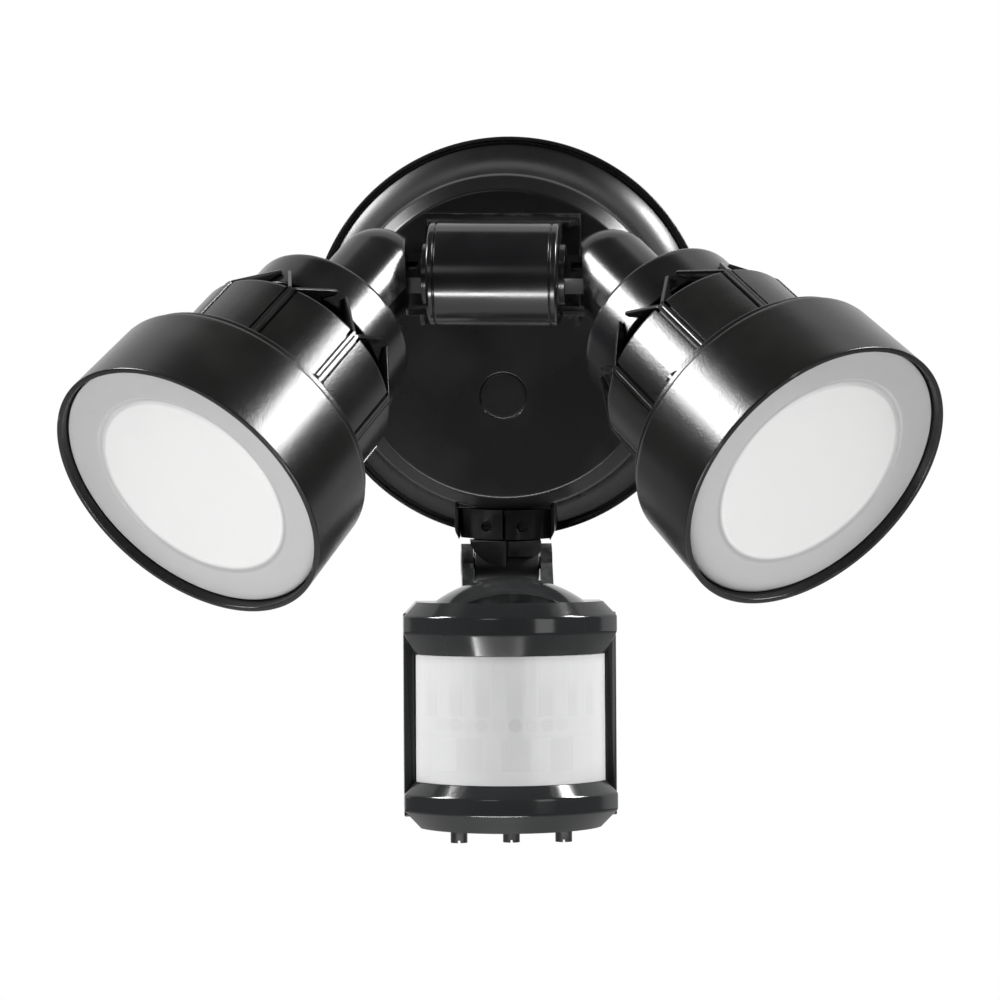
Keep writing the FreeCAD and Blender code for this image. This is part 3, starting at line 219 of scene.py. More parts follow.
def lamp_frame(side, splay):
    """Pin of an elbow, with Z along the lamp: first turned down, then splayed outwards."""
    drop, turn = math.radians(LAMP_DROP), math.radians(splay)
    out = np.array([side, 0, 0])
    along = np.array([0, -math.cos(drop), -math.sin(drop)])
    return framed((side * PIN[0], *PIN[1:]), out * math.cos(turn) - along * math.sin(turn),
                  along * math.cos(turn) + out * math.sin(turn))


def sensor_frame():
    """Tilt axis of the sensor: turned to the right about the upright, then face tipped up."""
    turn, tip = math.radians(SENSOR_TURN), math.radians(SENSOR_TIP)
    across = np.array([math.cos(turn), math.sin(turn), 0])
    out = np.array([math.sin(turn), -math.cos(turn), 0])
    up = np.array([0, 0, math.sin(tip)])
    return framed(SENSOR_HINGE, across, out * math.cos(tip) + up)


WALL = framed((0, 0, 0), (1, 0, 0), (0, -1, 0))
LAMPS = {"left": lamp_frame(-1, LEFT_SPLAY), "right": lamp_frame(1, RIGHT_SPLAY)}
SENSOR = sensor_frame()
print("lamp axes", {name: rows[3].round(3).tolist() for name, rows in LAMPS.items()})

# %% [markdown]
# ## Stage and light
#
# The light is seen against plain white. The backdrop is white to the camera, in mirrors and
# through clear parts, and an ordinary pale wall for diffuse light; the floor is plain and pale and
# keeps the shadow. Black plastic shows only what it mirrors, so the place and size of each lamp
# matter more than its strength. A mirror direction was worked out for every highlight: the ones
# along the drums and elbows come from tall boxes at both sides, the band under the middle of the
# barrel from a low box in front, and the upright pair on the sensor from two boxes beside the
# camera.

# %% stage
FLOOR, FRONT, BEND, SWEEP, TOP = -0.95, -9.0, 1.9, 0.9, 6.0
HALF_STAGE = 9.0


def fill(tree, node, inputs):
    """Link the inputs of a node to sockets, or set them to values."""
    for name, value in inputs.items():
        if isinstance(value, bpy.types.NodeSocket):
            tree.links.new(value, node.inputs[name])
        else:
            node.inputs[name].default_value = value
    return node


def wire(tree, kind, inputs=None, **settings):
    """Add a node, set its properties, and fill its inputs."""
    node = tree.nodes.new(kind)
    for name, value in settings.items():
        setattr(node, name, value)
    return fill(tree, node, inputs or {})


def stage_paint(name, grey, white):
    """Matt paint; the backdrop's is white where it is seen directly, mirrored or through glass."""
    paint = bpy.data.materials.new(name)
    paint.use_nodes = True
    tree = paint.node_tree
    tree.nodes.clear()
    surface = wire(tree, "ShaderNodeBsdfDiffuse", {"Color": (grey, grey, grey, 1)})
    if white:
        rays = wire(tree, "ShaderNodeLightPath").outputs
        seen = rays["Is Camera Ray"]
        for kind in ("Is Glossy Ray", "Is Transmission Ray"):
            either = wire(tree, "ShaderNodeMath", {0: seen, 1: rays[kind]}, operation="MAXIMUM")
            seen = either.outputs[0]
        glow = wire(tree, "ShaderNodeEmission", {"Color": (1, 1, 1, 1), "Strength": 1.0})
        surface = wire(tree, "ShaderNodeMixShader", {0: seen, 1: surface.outputs[0],
                                                     2: glow.outputs[0]})
    wire(tree, "ShaderNodeOutputMaterial", {"Surface": surface.outputs[0]})
    return paint


def stage_strip(name, depth, height, paint):
    """Strip across the room over a run of (depth, height) points."""
    across = np.array([-HALF_STAGE, HALF_STAGE])
    grid = np.stack(np.broadcast_arrays(across[None, :], depth[:, None], height[:, None]), -1)
    index = np.arange(grid.shape[0] * 2).reshape(-1, 2)
    faces = np.stack([index[:-1, 0], index[:-1, 1], index[1:, 1], index[1:, 0]], -1)
    mesh = bpy.data.meshes.new(name)
    mesh.from_pydata(grid.reshape(-1, 3).tolist(), [], faces.tolist())
    mesh.shade_smooth()
    strip = bpy.data.objects.new(name, mesh)
    bpy.context.scene.collection.objects.link(strip)
    strip.data.materials.append(paint)


turn = np.linspace(0, math.pi / 2, 25)
stage_strip("floor", np.array([FRONT, BEND]), np.array([FLOOR, FLOOR]),
            stage_paint("floor_paint", 0.6, False))
stage_strip("backdrop", np.append(BEND + SWEEP * np.sin(turn), BEND + SWEEP),
            np.append(FLOOR + SWEEP * (1 - np.cos(turn)), TOP),
            stage_paint("backdrop_paint", 0.8, True))
print("stage", [paint.name for paint in bpy.data.materials if paint.name.endswith("_paint")])

# %% lamps and world
AIM = Vector((0, -0.07, -0.03))


def soft_box(name, azimuth, elevation, distance, width, height, power):
    """Area lamp aimed at the light from a direction; azimuth 0 is in front, 90 at the right."""
    turn, rise = math.radians(azimuth), math.radians(elevation)
    level = math.cos(rise)
    way = Vector((level * math.sin(turn), -level * math.cos(turn), math.sin(rise)))
    lamp = bpy.data.lights.new(name, "AREA")
    lamp.shape = "RECTANGLE"
    lamp.size, lamp.size_y = width, height
    lamp.energy = power
    thing = look(bpy.data.objects.new(name, lamp), AIM + way * distance, AIM)
    thing.visible_camera = False


# Angles in degrees, then distance, width and height in metres, then power in watts.
soft_box("low_front_box", -6, -40, 1.15, 0.9, 0.11, 17)
soft_box("right_side_box", 92, 37, 1.2, 0.26, 0.42, 34)
soft_box("left_side_box", -84, 35, 1.2, 0.26, 0.42, 31)
soft_box("left_front_box", -15, 16, 1.4, 0.36, 0.30, 1.3)
soft_box("right_front_box", 41, 10, 1.3, 0.42, 0.5, 2.0)
soft_box("top_box", 180, 62, 1.6, 1.2, 0.3, 0.5)
world = bpy.data.worlds.new("room")
world.use_nodes = True
fill(world.node_tree, world.node_tree.nodes["Background"],
     {"Color": (1, 1, 1, 1), "Strength": 0.04})
bpy.context.scene.world = world
print("lamps", [item.name for item in bpy.data.lights])

# %% [markdown]
# ## Finishes
#
# Moulded plastic is never one even colour: the mould leaves a fine grain, handling polishes some
# places, and dust settles on what faces up. Convex edges get a painted highlight, a lighter colour
# where they would catch the light. These effects are shared, so each is a shader node group,
# placed in every material with its own numbers.

# %% shared effects
# The mix node has sockets for every kind of data; these are the ones for colours.
MIX_FIRST, MIX_SECOND, MIX_RESULT = 6, 7, 2


def effect(name, outputs, build, **inputs):
    """Shader node group of a place and named values; build(tree, inputs) returns its results."""
    tree = bpy.data.node_groups.new(name, "ShaderNodeTree")
    tree.interface.new_socket("Vector", in_out="INPUT", socket_type="NodeSocketVector")
    for label, value in inputs.items():
        socket = tree.interface.new_socket(label, in_out="INPUT", socket_type="NodeSocketFloat")
        socket.default_value = value
    for label in outputs:
        tree.interface.new_socket(label, in_out="OUTPUT", socket_type="NodeSocketFloat")
    results = build(tree, tree.nodes.new("NodeGroupInput").outputs)
    sink = tree.nodes.new("NodeGroupOutput")
    fill(tree, sink, dict(zip(outputs, results)))
    return tree


def ramp(tree, value, low, high, start=0.0, end=1.0):
    """Stretch a value between low and high to start and end, softly."""
    node = wire(tree, "ShaderNodeMapRange", {"Value": value, "From Min": low, "From Max": high,
                                             "To Min": start, "To Max": end},
                interpolation_type="SMOOTHSTEP")
    return node.outputs["Result"]


def noise(tree, given, scale, detail, roughness=0.5):
    """Noise from zero to one at the given place."""
    node = wire(tree, "ShaderNodeTexNoise", {"Vector": given["Vector"], "Scale": scale,
                                             "Detail": detail, "Roughness": roughness})
    return node.outputs["Fac"]


def product(tree, first, second):
    """Two values multiplied."""
    node = wire(tree, "ShaderNodeMath", {0: first, 1: second}, operation="MULTIPLY")
    return node.outputs[0]


def mixed(tree, mask, first, second):
    """Colour that goes from the first to the second where the mask rises to one."""
    node = wire(tree, "ShaderNodeMix", {"Factor": mask, MIX_FIRST: first, MIX_SECOND: second},
                data_type="RGBA")
    return node.outputs[MIX_RESULT]


def grain_effect(tree, given):
    """Mould texture: fine noise as the height, and slow patches of sheen."""
    fine = noise(tree, given, given["Scale"], 3.0, 0.6)
    patch = ramp(tree, noise(tree, given, 28.0, 4.0), 0.32, 0.68)
    return fine, patch


def edge_highlight_effect(tree, given):
    """Painted edge highlight: convex places, broken up by noise."""
    shape = wire(tree, "ShaderNodeNewGeometry")
    edge = ramp(tree, shape.outputs["Pointiness"], 0.53, 0.6)
    broken = ramp(tree, noise(tree, given, 160.0, 3.0), 0.35, 0.7)
    return [product(tree, edge, broken)]


def dust_effect(tree, given):
    """Dust on faces that look up, thicker in patches."""
    shape = wire(tree, "ShaderNodeNewGeometry")
    normal = wire(tree, "ShaderNodeSeparateXYZ", {"Vector": shape.outputs["Normal"]})
    upward = ramp(tree, normal.outputs["Z"], 0.35, 1.0)
    broken = ramp(tree, noise(tree, given, 70.0, 5.0), 0.35, 0.75)
    return [product(tree, upward, broken)]


GRAIN = effect("mould_grain", ["Height", "Patch"], grain_effect, Scale=900.0)
EDGE_HIGHLIGHT = effect("painted_edge_highlight", ["Mask"], edge_highlight_effect)
DUST = effect("settled_dust", ["Mask"], dust_effect)
print("effects", [group.name for group in bpy.data.node_groups])

# %% moulded, coated and plated finishes
DUST_COLOUR = (0.5, 0.49, 0.47, 1)
DUST_AMOUNT, DUST_ROUGHNESS = 0.01, 0.6
COAT_ROUGHNESS = 0.12


def placed_effect(tree, group, at, **values):
    """Outputs of one of the shared effects inside a material."""
    return wire(tree, "ShaderNodeGroup", {"Vector": at, **values}, node_tree=group).outputs


def shade(colour, factor):
    """A colour made lighter or darker, with its alpha."""
    return tuple(min(1.0, part * factor) for part in colour) + (1.0,)


def finish(name, colour, rough, spread, grain=900.0, depth=0.03, tone=0.06, metal=0.0, edge_highlight=0.5,
           coat=0.0, shine=0.5):
    """Material of one slot.

    Between patches the colour drifts by the tone and the roughness by the spread. Grain is the
    fineness of the mould texture and depth its height in millimetres. The edge highlight paints
    a lighter colour on convex edges, where they would catch the light; coat is a clear layer,
    and shine is the strength of mirror images.
    """
    paint = bpy.data.materials.new(name)
    paint.use_nodes = True
    tree = paint.node_tree
    at = wire(tree, "ShaderNodeTexCoord").outputs["Object"]
    texture = placed_effect(tree, GRAIN, at, Scale=grain)
    body = mixed(tree, texture["Patch"], shade(colour, 1 - tone), shade(colour, 1 + tone))
    roughness = ramp(tree, texture["Patch"], 0.0, 1.0, rough - spread, rough + spread)
    # Painted highlight: convex edges get a lighter colour, as if they caught the light.
    if edge_highlight:
        highlit_edges = product(tree, placed_effect(tree, EDGE_HIGHLIGHT, at)["Mask"], edge_highlight)
        body = mixed(tree, highlit_edges, body, shade([0.06 + part for part in colour], 1.5))
    laid = product(tree, placed_effect(tree, DUST, at)["Mask"], DUST_AMOUNT)
    body = mixed(tree, laid, body, DUST_COLOUR)
    dusty = wire(tree, "ShaderNodeMath", {0: laid, 1: DUST_ROUGHNESS, 2: roughness},
                 operation="MULTIPLY_ADD")
    bump = wire(tree, "ShaderNodeBump", {"Height": texture["Height"], "Strength": 1.0,
                                         "Distance": depth * MM})
    fill(tree, tree.nodes["Principled BSDF"], {
        "Base Color": body, "Roughness": dusty.outputs[0], "Normal": bump.outputs["Normal"],
        "Metallic": metal, "Specular IOR Level": shine, "Coat Weight": coat,
        "Coat Roughness": COAT_ROUGHNESS})
    return paint


LOOKS = {
    "canopy_black": dict(colour=(0.006, 0.006, 0.0065), rough=0.3, spread=0.04, grain=700,
                         depth=0.008, edge_highlight=0, shine=0.25),
    "block_black": dict(colour=(0.005, 0.005, 0.0055), rough=0.2, spread=0.03, grain=700,
                        depth=0.004, shine=0.4),
    "elbow_black": dict(colour=(0.005, 0.005, 0.0055), rough=0.22, spread=0.02, grain=1800,
                        depth=0.02, shine=0.3),
    "clamp_grey": dict(colour=(0.014, 0.014, 0.0145), rough=0.34, spread=0.05, grain=800,
                       depth=0.01),
    "head_black": dict(colour=(0.006, 0.0058, 0.0056), rough=0.24, spread=0.02, grain=1800,
                       depth=0.045, shine=0.3),
    "reflector_white": dict(colour=(0.9, 0.9, 0.88), rough=0.2, spread=0.04, edge_highlight=0),
    "spreader_alu": dict(colour=(0.7, 0.71, 0.72), rough=0.35, spread=0.08, grain=300,
                         depth=0.02, metal=1.0, edge_highlight=0),
    "board_white": dict(colour=(0.86, 0.86, 0.84), rough=0.35, spread=0.05, edge_highlight=0),
    "board_green": dict(colour=(0.03, 0.18, 0.08), rough=0.3, spread=0.06, grain=400,
                        depth=0.02, coat=0.4),
    "sensor_grey": dict(colour=(0.012, 0.0125, 0.013), rough=0.15, spread=0.02, grain=900,
                        depth=0.006, shine=0.35),
    "adjuster_black": dict(colour=(0.02, 0.02, 0.02), rough=0.45, spread=0.06, grain=900,
                           depth=0.02),
    "pot_blue": dict(colour=(0.05, 0.12, 0.3), rough=0.4, spread=0.06),
    "screw_steel": dict(colour=(0.6, 0.6, 0.61), rough=0.3, spread=0.08, grain=500, depth=0.01,
                        metal=1.0),
    "screw_black": dict(colour=(0.05, 0.05, 0.05), rough=0.35, spread=0.08, grain=500, depth=0.01,
                        metal=1.0),
    "bracket_steel": dict(colour=(0.6, 0.61, 0.62), rough=0.4, spread=0.12, grain=120,
                          depth=0.02, tone=0.2, metal=1.0),
    "earth_green": dict(colour=(0.08, 0.35, 0.12), rough=0.3, spread=0.08, grain=500, depth=0.01,
                        metal=0.8),
    "seal_rubber": dict(colour=(0.025, 0.025, 0.025), rough=0.7, spread=0.08, grain=600,
                        depth=0.04, edge_highlight=0.2),
    "gasket_foam": dict(colour=(0.05, 0.05, 0.05), rough=0.9, spread=0.05, grain=500, depth=0.25,
                        edge_highlight=0),
    "connector_yellow": dict(colour=(0.75, 0.5, 0.05), rough=0.4, spread=0.06),
    "detector_can": dict(colour=(0.6, 0.6, 0.6), rough=0.25, spread=0.05, grain=500, depth=0.01,
                         metal=1.0),
    "photocell_tan": dict(colour=(0.5, 0.3, 0.15), rough=0.4, spread=0.08),
}
FINISHES = {name: finish(name, **values) for name, values in LOOKS.items()}
print(len(FINISHES), "finishes")

# %% [markdown]
# The two white plastics let light in, and both get some scatter below the surface. The opal
# diffuser is bright in front of the board of LEDs; its greyer ring over the rim of its reflector
# is painted shade, and the darker line in its sunk ring a painted shadow. The sensor's lens is a
# thin milky film, greyer in strips, discs and blocks, with painted shade along its top and bottom
# edges. Where they are greyer follows a value that each maker stores in the mesh: the distance
# from the diffuser's axis, and the lens's strips, discs, blocks and shade.

# %% white plastics
SCATTER_REACH = 0.004


def milky(name, colour, scatter, attribute, layers):
    """White plastic; each layer (low, high, colour) takes over as the stored value rises."""
    paint = finish(name, colour, 0.3, 0.01, grain=1100, depth=0.004, tone=0.003, edge_highlight=0)
    tree = paint.node_tree
    shader = tree.nodes["Principled BSDF"]
    value = wire(tree, "ShaderNodeAttribute", attribute_name=attribute).outputs["Fac"]
    body = shader.inputs["Base Color"].links[0].from_socket
    # The layers paint shade into the colour, and on the lens also its strips, discs and blocks.
    for low, high, other in layers:
        body = mixed(tree, ramp(tree, value, low, high), body, shade(other, 1))
    fill(tree, shader, {"Base Color": body, "Subsurface Weight": scatter,
                        "Subsurface Radius": (SCATTER_REACH,) * 3, "Subsurface Scale": 1.0})
    return paint


def store(piece, attribute, values):
    """Keep one number per point in the mesh."""
    layer = piece.data.attributes.new(attribute, "FLOAT", "POINT")
    layer.data.foreach_set("value", values.astype(np.float32))


def local(piece, rows):
    """Points of a piece in a frame, in millimetres: each offset from the origin dot each axis."""
    place = np.empty(len(piece.data.vertices) * 3)
    piece.data.vertices.foreach_get("co", place)
    return (place.reshape(-1, 3) / MM - rows[0]) @ rows[1:].T


# Painted shade: 0.31 over the reflector's rim, and a painted shadow line of 0.28 in the ring.
FINISHES["diffuser_opal"] = milky("diffuser_opal", (0.5, 0.5, 0.498), 0.2, "reach", [
    (28.9, 30.3, (0.28, 0.28, 0.28)), (30.2, 31.4, (0.31, 0.31, 0.31))])
# The lens greys by its strips, discs and blocks, and by painted shade along top and bottom.
FINISHES["lens_white"] = milky("lens_white", (0.37, 0.37, 0.372), 0.3, "pattern", [
    (0.0, 1.0, (0.22, 0.22, 0.222))])
for name, node in nodes.items():
    node.data.materials.clear()
    node.data.materials.append(FINISHES[slot_of[name]])
print("every solid has the finish of its slot")

# %% [markdown]
# ## Canopy
#
# The canopy is moulded in one piece: a flat disc, a chamfer, a concave flange and a thin lip with
# a groove inside it. It is a closed outline turned about the axis. The only part off the axis is
# the small cup for the mounting bolt, so each ring of the outline also carries the height of its
# centre: that of the cup for the small rings, then sliding to the middle of the disc.

# %% turned pieces
def stand_for(piece, node, *more):
    """Give a piece the body, the slot and the finish of the node that it replaces."""
    piece.data.materials.clear()
    piece.data.materials.append(FINISHES[slot_of[node]])
    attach(piece, body_of[node])
    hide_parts(node, *more)
    return piece


def turned(name, outline, rows, closed=False, columns=160, middle=None):
    """Outline (radius, height) carried round Z: x = r cos a, y = r sin a, z = h.

    The optional middle gives each ring the y of its own centre.
    """
    radius, height = np.asarray(outline).T
    angle = np.linspace(0, 2 * math.pi, columns, endpoint=False)
    centre = np.zeros_like(radius) if middle is None else middle(radius)
    x = radius[:, None] * np.cos(angle)
    y = radius[:, None] * np.sin(angle) + centre[:, None]
    grid = np.stack(np.broadcast_arrays(x, y, height[:, None]), -1)
    return skin(name, placed(grid, rows), rows_meet=closed)


# %% canopy shell and plug
BOLT_HEIGHT, CUP_RADIUS, DISC_RADIUS = -16, 9.25, 47


def cup_middle(radius):
    """Rings up to the cup's wall are centred on the bolt, those beyond the disc on the axis."""
    return np.interp(radius, [CUP_RADIUS, DISC_RADIUS], [BOLT_HEIGHT, 0])


canopy_outline = rounded([
    (0, 22.9), (7.3, 22.9, 0.3), (7.3, 27.5, 0.3), (12, 27.5), (24, 27.5), (40, 27.5),
    (48, 27.5, 0.6), (52, 23.5, 0.5), (52.4, 22.5, 0.2), *arc((52.6, 22), (61.4, 3.9), 22),
    (62.2, 3.9, 0.15), (62.2, 4.6, 0.2), (63.5, 4.6, 0.35), (63.5, 2, 0.3), (58, 2, 0.3),
    *arc((58, 2.4), (50.2, 20.5), -24.2), (49.8, 22.3, 0.3), (47.1, 25.3, 0.5),
    (CUP_RADIUS, 25.3, 0.4), (CUP_RADIUS, 21.1, 0.4), (0, 21.1)], closed=False)
canopy = turned("canopy_shell", canopy_outline, WALL, columns=288, middle=cup_middle)
stand_for(canopy, "canopy_cover")

bolt_axis = framed((0, 0, BOLT_HEIGHT), (1, 0, 0), (0, -1, 0))
plug = turned("bolt_plug", rounded([
    (0, 25.5), (5.65, 25.5), (5.65, 23.3), (6.55, 23.3), (6.55, 25.5), (7.25, 25.5),
    (7.25, 27.25, 0.35), (6.5, 27.35, 0.6), (0, 27.4)], closed=False), bolt_axis, columns=96)
stand_for(plug, "hole_plug")
print("canopy", len(canopy.data.polygons), "faces")

# %% [markdown]
# The sensor's swivel sits in a socket at the canopy's lower edge: two cheeks, a back wall and a
# roof. A flat outline pushed along its normal makes them, drawn in a little at both ends so that
# every edge is rounded.

# %% drawn-out outlines
def slab(name, outline, low, high, rows, edge=0.4, radius=0.5):
    """Outline (x, y) drawn from low to high along Z, shrunk along its normals near both ends.

    The shrinking follows a quarter circle: inset = e (1 - sin t), rise = e (1 - cos t).
    """
    ring = rounded([tuple(corner) + (radius,) * (3 - len(corner)) for corner in outline])
    ring = ring[np.linalg.norm(ring - np.roll(ring, 1, 0), axis=1) > 1e-6]
    way = np.roll(ring, -1, 0) - np.roll(ring, 1, 0)
    area = np.sum(ring[:, 0] * np.roll(ring[:, 1], -1) - ring[:, 1] * np.roll(ring[:, 0], -1))
    normal = np.stack([way[:, 1], -way[:, 0]], 1) * math.copysign(1, area)
    normal /= np.linalg.norm(normal, axis=1)[:, None]
    t = np.linspace(0, math.pi / 2, 4)
    inset = np.concatenate([edge * (1 - np.sin(t)), [0, 0], edge * (1 - np.cos(t))])
    level = np.concatenate([low + edge * (1 - np.cos(t)), [low + 1.3 * edge, high - 1.3 * edge],
                            high - edge + edge * np.sin(t)])
    flat = ring[None] - inset[:, None, None] * normal[None]
    grid = np.concatenate([flat, np.broadcast_to(level[:, None, None], flat.shape[:2] + (1,))], -1)
    return skin(name, placed(grid, rows))


def joined(name, parts):
    """Several meshes as one piece."""
    work = bmesh.new()
    for part in parts:
        work.from_mesh(part.data)
        bpy.data.objects.remove(part)
    mesh = bpy.data.meshes.new(name)
    work.to_mesh(mesh)
    work.free()
    return show(name, mesh)


# Seen from above: x across, y out of the wall, z up.
PLAN = np.array([(0, 0, 0), (1, 0, 0), (0, -1, 0), (0, 0, 1)], float)
cheeks = [slab("cheek", [(side * 14.3, -50.3), (side * 15.7, -50.3), (side * 15.7, -59.6, 1.4),
                         (side * 14.3, -62)], 3, 22, WALL, 0.35, 0.3) for side in (-1, 1)]
wall = slab("socket_back", [(-15.6, -50.3), (15.6, -50.3), (15.6, -60, 1.2), (13.7, -62, 1.2),
                            (-13.7, -62, 1.2), (-15.6, -60, 1.2)], 3, 8, WALL, 0.3, 0.3)
roof = slab("socket_roof", [(-15.6, 3), (15.6, 3), (15.6, 22), (-15.6, 22)], -52.1, -50.3, PLAN,
            0.3)
socket = joined("swivel_socket", cheeks + [wall, roof])
stand_for(socket, "canopy_cover")
print("socket", len(socket.data.polygons), "faces")

# %% [markdown]
# ## Barrel
#
# The barrel cover is a horseshoe in side view: two legs and a half circle about the tilt axis. Its
# section is a thin shell with an end wall at each side and a fine groove that sets off a bead. So
# the section, as (radius, x), is carried along the horseshoe, because every horseshoe with the
# same centre is at an even distance from the next.

# %% barrel cover
BARREL_RADIUS, BARREL_HALF, BEAD = 15.3, 19.3, 17.2


def horseshoe(radius, back=46, up=24, out=60, leg=7, bow=64):
    """Path at a radius about the tilt axis: lower leg, half circle, upper leg, as (y, z)."""
    angle = np.linspace(-math.pi / 2, math.pi / 2, bow)
    ends = np.linspace(0, 1, leg)[:-1]
    y = np.concatenate([np.full(leg - 1, -1.0), np.sin(angle), np.full(leg - 1, 1.0)])
    z = np.concatenate([back + (out - back) * ends, np.full(bow, out),
                        out + (back - out) * (1 - ends[::-1])])
    bulge = np.concatenate([np.zeros(leg - 1), np.cos(angle), np.zeros(leg - 1)])
    return up + y[None] * radius[:, None], z[None] + bulge[None] * radius[:, None]


def groove(x, floor=14.9):
    """Corners of the fine groove beside a bead, from the middle outwards."""
    side = math.copysign(1, x)
    run = [(BARREL_RADIUS, x - side * 0.3, 0.15), (floor, x - side * 0.12, 0.1),
           (floor, x + side * 0.12, 0.1), (BARREL_RADIUS, x + side * 0.3, 0.15)]
    return run if side > 0 else run[::-1]


section = rounded([
    (BARREL_RADIUS, -BARREL_HALF, 0.9), *groove(-BEAD), *groove(BEAD),
    (BARREL_RADIUS, BARREL_HALF, 0.9), (9.6, BARREL_HALF, 0.25), (9.6, 18.3), (13.5, 18.3),
    (13.5, -18.3), (9.6, -18.3), (9.6, -BARREL_HALF, 0.25)])
reach, across = section.T
y, z = horseshoe(reach)
barrel_grid = np.stack([np.broadcast_to(across[:, None], y.shape), y, z], -1)
barrel = skin("barrel_shell", placed(barrel_grid, WALL), rows_meet=True, columns_meet=False)
stand_for(barrel, "barrel_cover")
print("barrel", len(barrel.data.polygons), "faces")

# %% [markdown]
# Small cast and moulded parts with flat faces, such as the lamp block, the hubs, the clamp and the
# sensor's rear shell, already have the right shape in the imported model. What they lack is a soft
# edge. A copy of the solid's mesh is merged, its flat triangles are joined into faces, and a
# narrow bevel is put on every edge that turns by more than 30 degrees.

# %% eased edges
def soften(piece, width, angle):
    """Bevel of a width in millimetres on the edges that turn by more than an angle."""
    bevel = piece.modifiers.new("soft_edge", "BEVEL")
    bevel.width = width * MM
    bevel.segments = 2
    bevel.limit_method = "ANGLE"
    bevel.angle_limit = math.radians(angle)
    bevel.use_clamp_overlap = True
    bevel.harden_normals = True


def eased(node, width):
    """Copy of a solid with its edges bevelled by a width in millimetres."""
    work = bmesh.new()
    work.from_mesh(nodes[node].data)
    bmesh.ops.remove_doubles(work, verts=work.verts, dist=1e-6)
    bmesh.ops.dissolve_limit(work, angle_limit=math.radians(0.5), verts=work.verts,
                             edges=work.edges)
    mesh = bpy.data.meshes.new("eased_" + node)
    work.to_mesh(mesh)
    work.free()
    piece = show("eased_" + node, mesh, 30)
    soften(piece, width, 30)
    return stand_for(piece, node)


EASED = {"lamp_block": 0.35, "sensor_rear_shell": 0.5, "sensor_knuckle": 0.3,
         "left_tilt_hub": 0.3, "right_tilt_hub": 0.3, "swivel_clamp_left": 0.4,
         "swivel_clamp_right": 0.4, "time_adjuster": 0.2, "range_adjuster": 0.2,
         "dusk_adjuster": 0.2}
for name, width in EASED.items():
    eased(name, width)
print(len(EASED), "eased pieces")

# %% [markdown]
# The knuckle ends in a round barrel that fills the fork almost up to the outline of its arms.

# %% knuckle barrel
tilt_axis = framed(SENSOR[0], SENSOR[3], SENSOR[1])
hinge = turned("knuckle_barrel", rounded([(4, -10.2), (6.1, -10.2, 0.4), (6.1, 10.2, 0.4),
                                          (4, 10.2)]), tilt_axis, closed=True, columns=96)
stand_for(hinge, "sensor_knuckle")
print("knuckle barrel", len(hinge.data.polygons), "faces")

# %% [markdown]
# ## Lamp heads
#
# Each lamp is an elbow with a domed end, a collar, a ribbed sleeve and a drum, all turned about the
# lamp's axis. The elbow is milled: a flat side that faces the barrel, and a slot in which the
# hub's tongue swings. Both are cut from the turned blank with cutters of the same shape.

# %% elbow
SHARP = 0.01
BALL, FLAT_TURN, SLOT_HALF, SLOT_LOW, SLOT_HIGH = 13.5, 29.5, 3.3, 6, 62


def carve(piece, cutters):
    """Cut shapes out of a piece and keep the result as its mesh."""
    for cutter in cutters:
        cut = piece.modifiers.new("cut", "BOOLEAN")
        cut.object = cutter
        cut.operation = "DIFFERENCE"
        cut.solver = "EXACT"
    bpy.context.view_layer.update()
    graph = bpy.context.evaluated_depsgraph_get()
    result = bpy.data.meshes.new_from_object(piece.evaluated_get(graph))
    piece.modifiers.clear()
    piece.data = result
    for cutter in cutters:
        bpy.data.objects.remove(cutter)
    result.shade_smooth()
    result.set_sharp_from_angle(angle=math.radians(30))
    return piece


def side_view(rows):
    """The frame in which a lamp's side view is (x, z) and the pin runs along the third axis."""
    return np.array([rows[0], rows[1], rows[3], -rows[2]])


def swung(corners, angle):
    """Corners of a side view turned about the pin by an angle in degrees."""
    cos, sin = math.cos(math.radians(angle)), math.sin(math.radians(angle))
    x, z = np.array(corners, float).T
    return np.stack([x * cos - z * sin, x * sin + z * cos], 1)


def elbow(name, rows):
    """Domed blank with its inner flat, the slot for the tongue and the slot's round end."""
    outline = rounded([*arc((0, -BALL), (BALL, 0), BALL, 28), (BALL, 27.4, 0.2), (BALL, 30),
                       (21.3, 30), (21.3, 33, 0.3), (0, 33)], closed=False)
    blank = turned(f"{name}_elbow_body", outline, rows, columns=128)
    turn = np.linspace(0, 2 * math.pi, 33)[:-1]
    flat = swung([(-40, -30), (-8.7, -30), (-8.7, 14), (-40, 14)], FLAT_TURN)
    slot = [(-0.6, 6), *swung([(-24, 6)], SLOT_LOW), *swung([(-24, -6)], SLOT_HIGH), (5.3, -2.8)]
    pocket = np.stack([6 * np.cos(turn), 6 * np.sin(turn)], 1)
    carve(blank, [slab("cutter", shape, -half, half, side_view(rows), SHARP, SHARP)
                  for shape, half in ((flat, 30), (slot, SLOT_HALF), (pocket, SLOT_HALF))])
    soften(blank, 0.35, 35)
    return stand_for(blank, f"{name}_elbow")


for name, rows in LAMPS.items():
    print(name, "elbow", len(elbow(name, rows).data.polygons), "faces")

# %% [markdown]
# The collar clamps the elbow to the housing. The sleeve is the rear of the housing, a cooled
# cylinder that steps down over a dark neck to the collar. Its nine ribs are strips of the same
# casting, set off by a groove on each side, so the sleeve is one grid whose radius depends on the
# distance from the nearest rib. Behind the sleeve's edge each rib parts into two thin fins, which
# slope down to the collar's edge and so make a zigzag around it.

# %% collar and sleeve
RIBS, FIRST_RIB = 9, 94
RIB_REACH = np.array([11.2, 9, 7, 5, 3.4, 2.6, 2.2, 2.05, 1.95, 1.85, 1.7, 1.5, 1.35, 1.25, 1.15,
                      1.05, 0.8, 0.4, 0.15])


